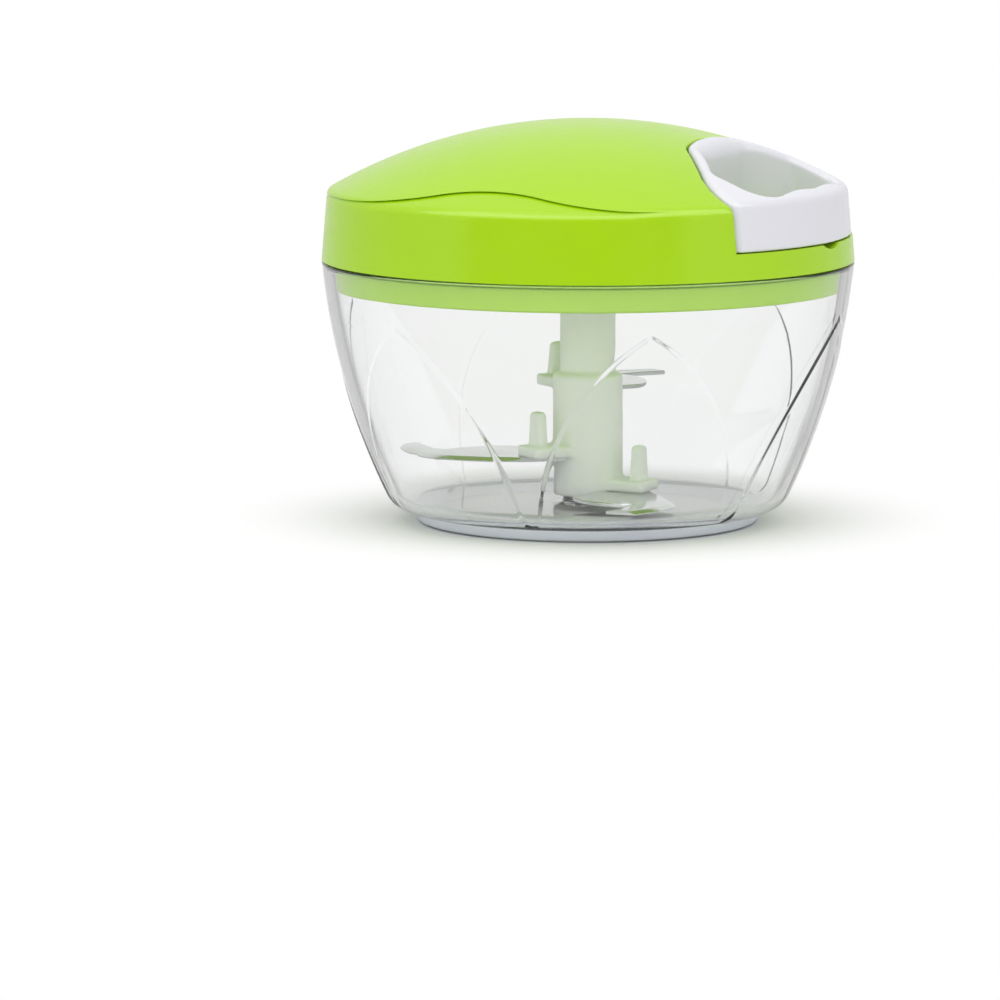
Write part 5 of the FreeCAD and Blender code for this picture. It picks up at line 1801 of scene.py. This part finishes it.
FINISHES: Dict[str, object] = {
    "lid": MouldedPlastic("lime_gloss", LIME, Shine.GLOSSY, mottle=0.03),
    "plug": MouldedPlastic("pale_lime_gloss", PALE_LIME, Shine.GLOSSY, mottle=0.03),
    "seal": MouldedPlastic("lime_rubber", PALE_LIME, Shine.SATIN, mottle=0.06, ripple=0.00004),
    "handle": MouldedPlastic("white_gloss", WHITE, Shine.GLOSSY, mottle=0.015),
    "shaft": MouldedPlastic("milky_mint", MINT, Shine.SATIN, mottle=0.03, glow=0.5),
    "reel": MouldedPlastic("white_satin", linear(226, 226, 224), Shine.SATIN, mottle=0.03),
    "bush": MouldedPlastic("cream_satin", linear(235, 233, 224), Shine.SATIN, mottle=0.03),
    # The clear bowl's last colour is its painted shade on upright faces seen edge-on.
    "clear_bowl": ClearPlastic("clear_wall", (0.74, 0.76, 0.78), 42.0, (0.02, 0.02, 0.03)),
    "foot": MouldedPlastic("milky_foot", linear(222, 226, 235), Shine.SOFT, mottle=0.04, glow=0.4),
    "blade_steel": SheetSteel("ground_steel", (0.85, 0.87, 0.86), 0.14),
    "steel": SheetSteel("bright_steel", (0.6, 0.6, 0.62), 0.3),
    "cord": BraidedCord("white_braid", linear(228, 228, 226)),
}


class Dresser:
    """Gives pieces and carried-over nodes their finish, and makes each material once."""

    def __init__(self) -> None:
        """Starts with nothing made."""
        self.made: Dict[str, bpy.types.Material] = {}

    def material(self, slot: str) -> bpy.types.Material:
        """Material of a slot, made the first time it is asked for.

        Args:
            slot: the record's slot.

        Returns:
            The material.
        """
        if slot not in self.made:
            self.made[slot] = FINISHES[slot].make()
        return self.made[slot]

    def dress(self, thing: bpy.types.Object, slot: str) -> None:
        """Puts a slot's material on an object.

        Args:
            thing: the object.
            slot: the record's slot.
        """
        thing.data.materials.clear()
        thing.data.materials.append(self.material(slot))

    def piece(self, thing: bpy.types.Object, slot: str, body: str, *nodes: str) -> bpy.types.Object:
        """Dresses a new piece, lets it ride on a body and stand for CAD nodes.

        Args:
            thing: the piece.
            slot: the record's slot of its finish.
            body: the body it rides on.
            nodes: the CAD nodes it replaces.

        Returns:
            The piece.
        """
        self.dress(thing, slot)
        if body:
            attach(thing, body)
        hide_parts(*nodes)
        LOG.info("%s: %d faces, replaces %s", thing.name, len(thing.data.polygons), ", ".join(nodes))
        return thing


# Studio


@dataclass(frozen=True)
class Studio:
    """Camera at the photograph's place, white surroundings, a softbox overhead, two fills, the floor.

    The levels are strengths of the surroundings in reflections: towards the front, the sides and the
    back, of the strip overhead and of what is seen once a path has been mirrored. Even and top level
    are those of diffuse light, low down and overhead.
    """

    azimuth: float = 24.5
    distance: float = 1.690
    height: float = 0.231
    focal: float = 6955.0
    frame_size: float = 1000.0
    left_edge: float = -54.0
    right_edge: float = 42.0
    front_level: float = 0.12
    side_level: float = 0.85
    back_level: float = 0.8
    strip_level: float = 2.6
    mirrored_level: float = 0.9
    mirrored_floor: float = 0.45
    even_level: float = 0.24
    top_level: float = 1.42
    axis_column: float = 588.3
    foot_row: float = 518.2
    sensor: float = 36.0
    lamp_distance: float = 1.1
    aim_height: float = 0.06
    floor_points: int = 49
    floor_reach: float = 0.55
    floor_height: float = -0.0004
    shadow_ring: Pair = (0.046, 0.105)

    def camera(self) -> None:
        """Places the camera.

        It looks down by the angle of the foot less that of the foot's row, and left by the angle of
        the axis's column.
        """
        turn = math.radians(self.azimuth)
        towards = np.array([-math.sin(turn), math.cos(turn), 0.0])
        right = np.array([math.cos(turn), math.sin(turn), 0.0])
        place = -towards * self.distance + np.array([0.0, 0.0, self.height])
        half = self.frame_size / 2.0
        down = math.atan2(self.height, self.distance) - math.atan((self.foot_row - half) / self.focal)
        left = math.atan((self.axis_column - half) / self.focal)
        look = math.cos(down) * (math.cos(left) * towards - math.sin(left) * right)
        look[2] -= math.sin(down)
        data = bpy.data.cameras.new("photo_camera")
        data.sensor_width = self.sensor
        data.lens = self.sensor * self.focal / self.frame_size
        data.clip_start, data.clip_end = 0.05, 50.0
        thing = bpy.data.objects.new("photo_camera", data)
        bpy.context.scene.collection.objects.link(thing)
        thing.location = place
        thing.rotation_euler = Vector(look).to_track_quat("-Z", "Y").to_euler()
        bpy.context.scene.camera = thing

    def world(self) -> None:
        """Builds the surroundings.

        They are white where they are seen directly and through clear parts, and darker once the path
        has been mirrored. Reflections see a studio that is dark towards the front, between two
        upright edges, and bright at the sides, behind and in a strip overhead. Diffuse light rises
        with height.
        """
        world = bpy.data.worlds.new("studio")
        bpy.context.scene.world = world
        world.use_nodes = True
        sky = Nodes(world.node_tree)
        way = sky.tree.nodes.new("ShaderNodeTexCoord").outputs["Generated"]
        up = sky.node("ShaderNodeSeparateXYZ", Vector=way).outputs["Z"]

        def ramp(
            value: bpy.types.NodeSocket, low: float, high: float, first: float, last: float
        ) -> bpy.types.NodeSocket:
            """Smooth change from one result to another.

            Args:
                value: the value it depends on.
                low: where the change starts.
                high: where it ends.
                first: result up to low.
                last: result from high on.

            Returns:
                The result.
            """
            made = sky.node(
                "ShaderNodeMapRange", Value=value, From_Min=low, From_Max=high, To_Min=first,
                To_Max=last,
            )
            made.interpolation_type = "SMOOTHSTEP"
            return made.outputs["Result"]

        def side(azimuth: float, soft: float = 0.02) -> bpy.types.NodeSocket:
            """1 for directions on the side that an azimuth points to, 0 on the other side.

            Args:
                azimuth: where the side points, from the camera's own azimuth.
                soft: half width of the change, as a cosine.

            Returns:
                The share.
            """
            turn = math.radians(self.azimuth + azimuth)
            dot = sky.tree.nodes.new("ShaderNodeVectorMath")
            dot.operation = "DOT_PRODUCT"
            sky.put(way, dot.inputs[0])
            sky.put((math.sin(turn), -math.cos(turn), 0.0), dot.inputs[1])
            return ramp(dot.outputs["Value"], -soft, soft, 0.0, 1.0)

        def light(strength: bpy.types.NodeSocket) -> bpy.types.NodeSocket:
            """White light of a strength."""
            white = (1.0, 1.0, 1.0, 1.0)
            return sky.node("ShaderNodeBackground", Color=white, Strength=strength).outputs[0]

        front = sky.maths("MULTIPLY", side(self.left_edge + 90.0), side(self.right_edge - 90.0))
        dark = sky.maths("MULTIPLY", front, ramp(up, 0.45, 0.8, 1.0, 0.0))
        behind = sky.maths("MULTIPLY", side(180.0, 0.7), self.back_level - self.side_level)
        panels = sky.maths("ADD", behind, self.side_level)
        lit = sky.maths("MULTIPLY", panels, sky.maths("SUBTRACT", 1.0, dark))
        mirror = sky.maths("ADD", lit, sky.maths("MULTIPLY", dark, self.front_level))
        strip = sky.maths("MULTIPLY", ramp(up, 0.44, 0.54, 0.0, 1.0), ramp(up, 0.84, 0.92, 1.0, 0.0))
        strip = sky.maths("MULTIPLY", sky.maths("MULTIPLY", strip, side(0.0)), self.strip_level)
        mirror = sky.maths("ADD", mirror, strip)
        path = sky.tree.nodes.new("ShaderNodeLightPath").outputs
        seen = sky.maths("MAXIMUM", path["Is Camera Ray"], path["Is Transmission Ray"])
        turned = sky.maths("MINIMUM", path["Glossy Depth"], 1.0)
        dimmed = sky.maths("MULTIPLY", turned, 1.0 - self.mirrored_level)
        level = sky.maths("SUBTRACT", 1.0, dimmed)
        diffuse = light(ramp(up, 0.2, 0.95, self.even_level, self.top_level))
        unseen = sky.mixed(path["Is Glossy Ray"], diffuse, light(mirror))
        output = sky.tree.nodes.new("ShaderNodeOutputWorld")
        sky.tree.links.new(sky.mixed(seen, unseen, light(level)), output.inputs["Surface"])

    def lamp(
        self, name: str, azimuth: float, elevation: float, size: Pair, power: float,
        mirrored: bool = True,
    ) -> None:
        """Adds a soft rectangular lamp that faces the object.

        Args:
            name: its name.
            azimuth: its direction from the object, 0 towards -Y and 90 towards +X.
            elevation: its height above the horizon in degrees.
            size: width and height in metres.
            power: watts.
            mirrored: whether it shows in reflections.
        """
        turn, up = math.radians(azimuth), math.radians(elevation)
        way = Vector((math.sin(turn) * math.cos(up), -math.cos(turn) * math.cos(up), math.sin(up)))
        data = bpy.data.lights.new(name, "AREA")
        data.shape = "RECTANGLE"
        data.size, data.size_y = size
        data.energy = power
        thing = bpy.data.objects.new(name, data)
        bpy.context.scene.collection.objects.link(thing)
        thing.location = way * self.lamp_distance + Vector((0.0, 0.0, self.aim_height))
        thing.rotation_euler = (-way).to_track_quat("-Z", "Y").to_euler()
        thing.visible_glossy = mirrored

    def floor(self) -> None:
        """Adds the pale floor: paper that takes the object's shadow, plain white away from it."""
        count = self.floor_points
        t = np.linspace(-1.0, 1.0, count) * self.floor_reach
        x, y = np.meshgrid(t, t)
        points = np.stack([x, y, np.full_like(x, self.floor_height)], axis=-1).reshape(-1, 3)
        index = np.arange(count * count).reshape(count, count)
        quads = np.stack(
            [index[:-1, :-1], index[:-1, 1:], index[1:, 1:], index[1:, :-1]], axis=-1
        ).reshape(-1, 4)
        mesh = bpy.data.meshes.new("studio_floor")
        mesh.from_pydata(points.tolist(), [], quads.tolist())
        thing = bpy.data.objects.new("studio_floor", mesh)
        bpy.context.scene.collection.objects.link(thing)
        weave = Weave("studio_paper")
        weave.set(Base_Color=(0.93, 0.93, 0.93, 1.0), Roughness=0.9, Specular_IOR_Level=0.1)
        path = weave.tree.nodes.new("ShaderNodeLightPath").outputs
        level = weave.node(
            "ShaderNodeMapRange", Value=path["Glossy Depth"], From_Min=0.0, From_Max=1.0,
            To_Min=1.0, To_Max=self.mirrored_floor,
        )
        plain = weave.node(
            "ShaderNodeEmission", Color=(1.0, 1.0, 1.0, 1.0), Strength=level.outputs["Result"]
        )
        far = weave.node("ShaderNodeVectorMath", Vector=weave.place)
        far.operation = "LENGTH"
        first, last = self.shadow_ring
        ring = weave.node(
            "ShaderNodeMapRange", Value=far.outputs["Value"], From_Min=first, From_Max=last,
            To_Min=0.0, To_Max=1.0,
        )
        ring.interpolation_type = "SMOOTHSTEP"
        seen = weave.maths("MAXIMUM", path["Is Camera Ray"], path["Is Transmission Ray"])
        share = weave.maths("MULTIPLY", seen, ring.outputs["Result"])
        mixed = weave.mixed(share, weave.shader.outputs["BSDF"], plain.outputs["Emission"])
        weave.tree.links.new(mixed, weave.output.inputs["Surface"])
        mesh.materials.append(weave.material)

    def build(self) -> None:
        """Sets up the whole studio."""
        bpy.context.scene.view_settings.view_transform = "Standard"
        self.camera()
        self.world()
        self.lamp("top_softbox", self.azimuth - 12.0, 70.0, (1.4, 1.0), 3.4)
        self.lamp("left_fill", self.azimuth - 40.0, 12.0, (1.2, 0.9), 2.0, mirrored=False)
        self.lamp("right_fill", self.azimuth + 40.0, 12.0, (1.2, 0.9), 2.0, mirrored=False)
        self.floor()


# Building


def build_bowl(dresser: Dresser) -> None:
    """Bowl and foot.

    Args:
        dresser: gives the pieces their finish and their body.
    """
    dresser.piece(ClearBowl().make(), "clear_bowl", "bowl", "bowl")
    dresser.piece(FootRing().make(), "foot", "bowl", "foot_ring")


def build_lid(dresser: Dresser) -> None:
    """Cover of the lid and the seal under it.

    Args:
        dresser: gives the pieces their finish and their body.
    """
    dresser.piece(LidCover().make(), "lid", "lid", "lid_cover")
    dresser.piece(SealSkirt().make(), "seal", "lid", "seal_ring")


def build_handle(dresser: Dresser) -> None:
    """Grip and both parts of the cord: its free end from the lid to the grip, and its turns on the reel.

    Args:
        dresser: gives the pieces their finish and their body.
    """
    dresser.piece(PullHandle().make(), "handle", "handle", "pull_handle")
    cord = PullCord()
    lead = dresser.piece(cord.lead(), "cord", "", "cord_lead")
    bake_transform(lead)
    dresser.piece(cord.winding(), "cord", "reel", "cord_winding")


def build_blades(dresser: Dresser) -> None:
    """Shaft and its three blades.

    Args:
        dresser: gives the pieces their finish and their body.
    """
    dresser.piece(BladeShaft().make(), "shaft", "blades", "blade_shaft")
    for blade, node in (
        (Blade("low_blade", 7.2, -3.5, 0.93), "lower_blade"),
        (Blade("mid_blade", 15.4, -123.5), "middle_blade"),
        (Blade("high_blade", 30.8, 144.5), "upper_blade"),
    ):
        dresser.piece(blade.make(), "blade_steel", "blades", node)


def main() -> None:
    """Builds every piece and dresses the CAD nodes that stay."""
    logging.basicConfig(level=logging.INFO, format="%(message)s")
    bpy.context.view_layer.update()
    Studio().build()
    dresser = Dresser()
    build_bowl(dresser)
    build_lid(dresser)
    build_handle(dresser)
    build_blades(dresser)
    slots = {part["node"]: part["material_slot"] for part in frame["record"]["subparts"]}
    for node, thing in frame["nodes"].items():
        if not thing.hide_render:
            dresser.dress(thing, slots[node])
            LOG.info("%s keeps its CAD shape, with the finish %s", node, slots[node])


if __name__ == "__main__":
    main()
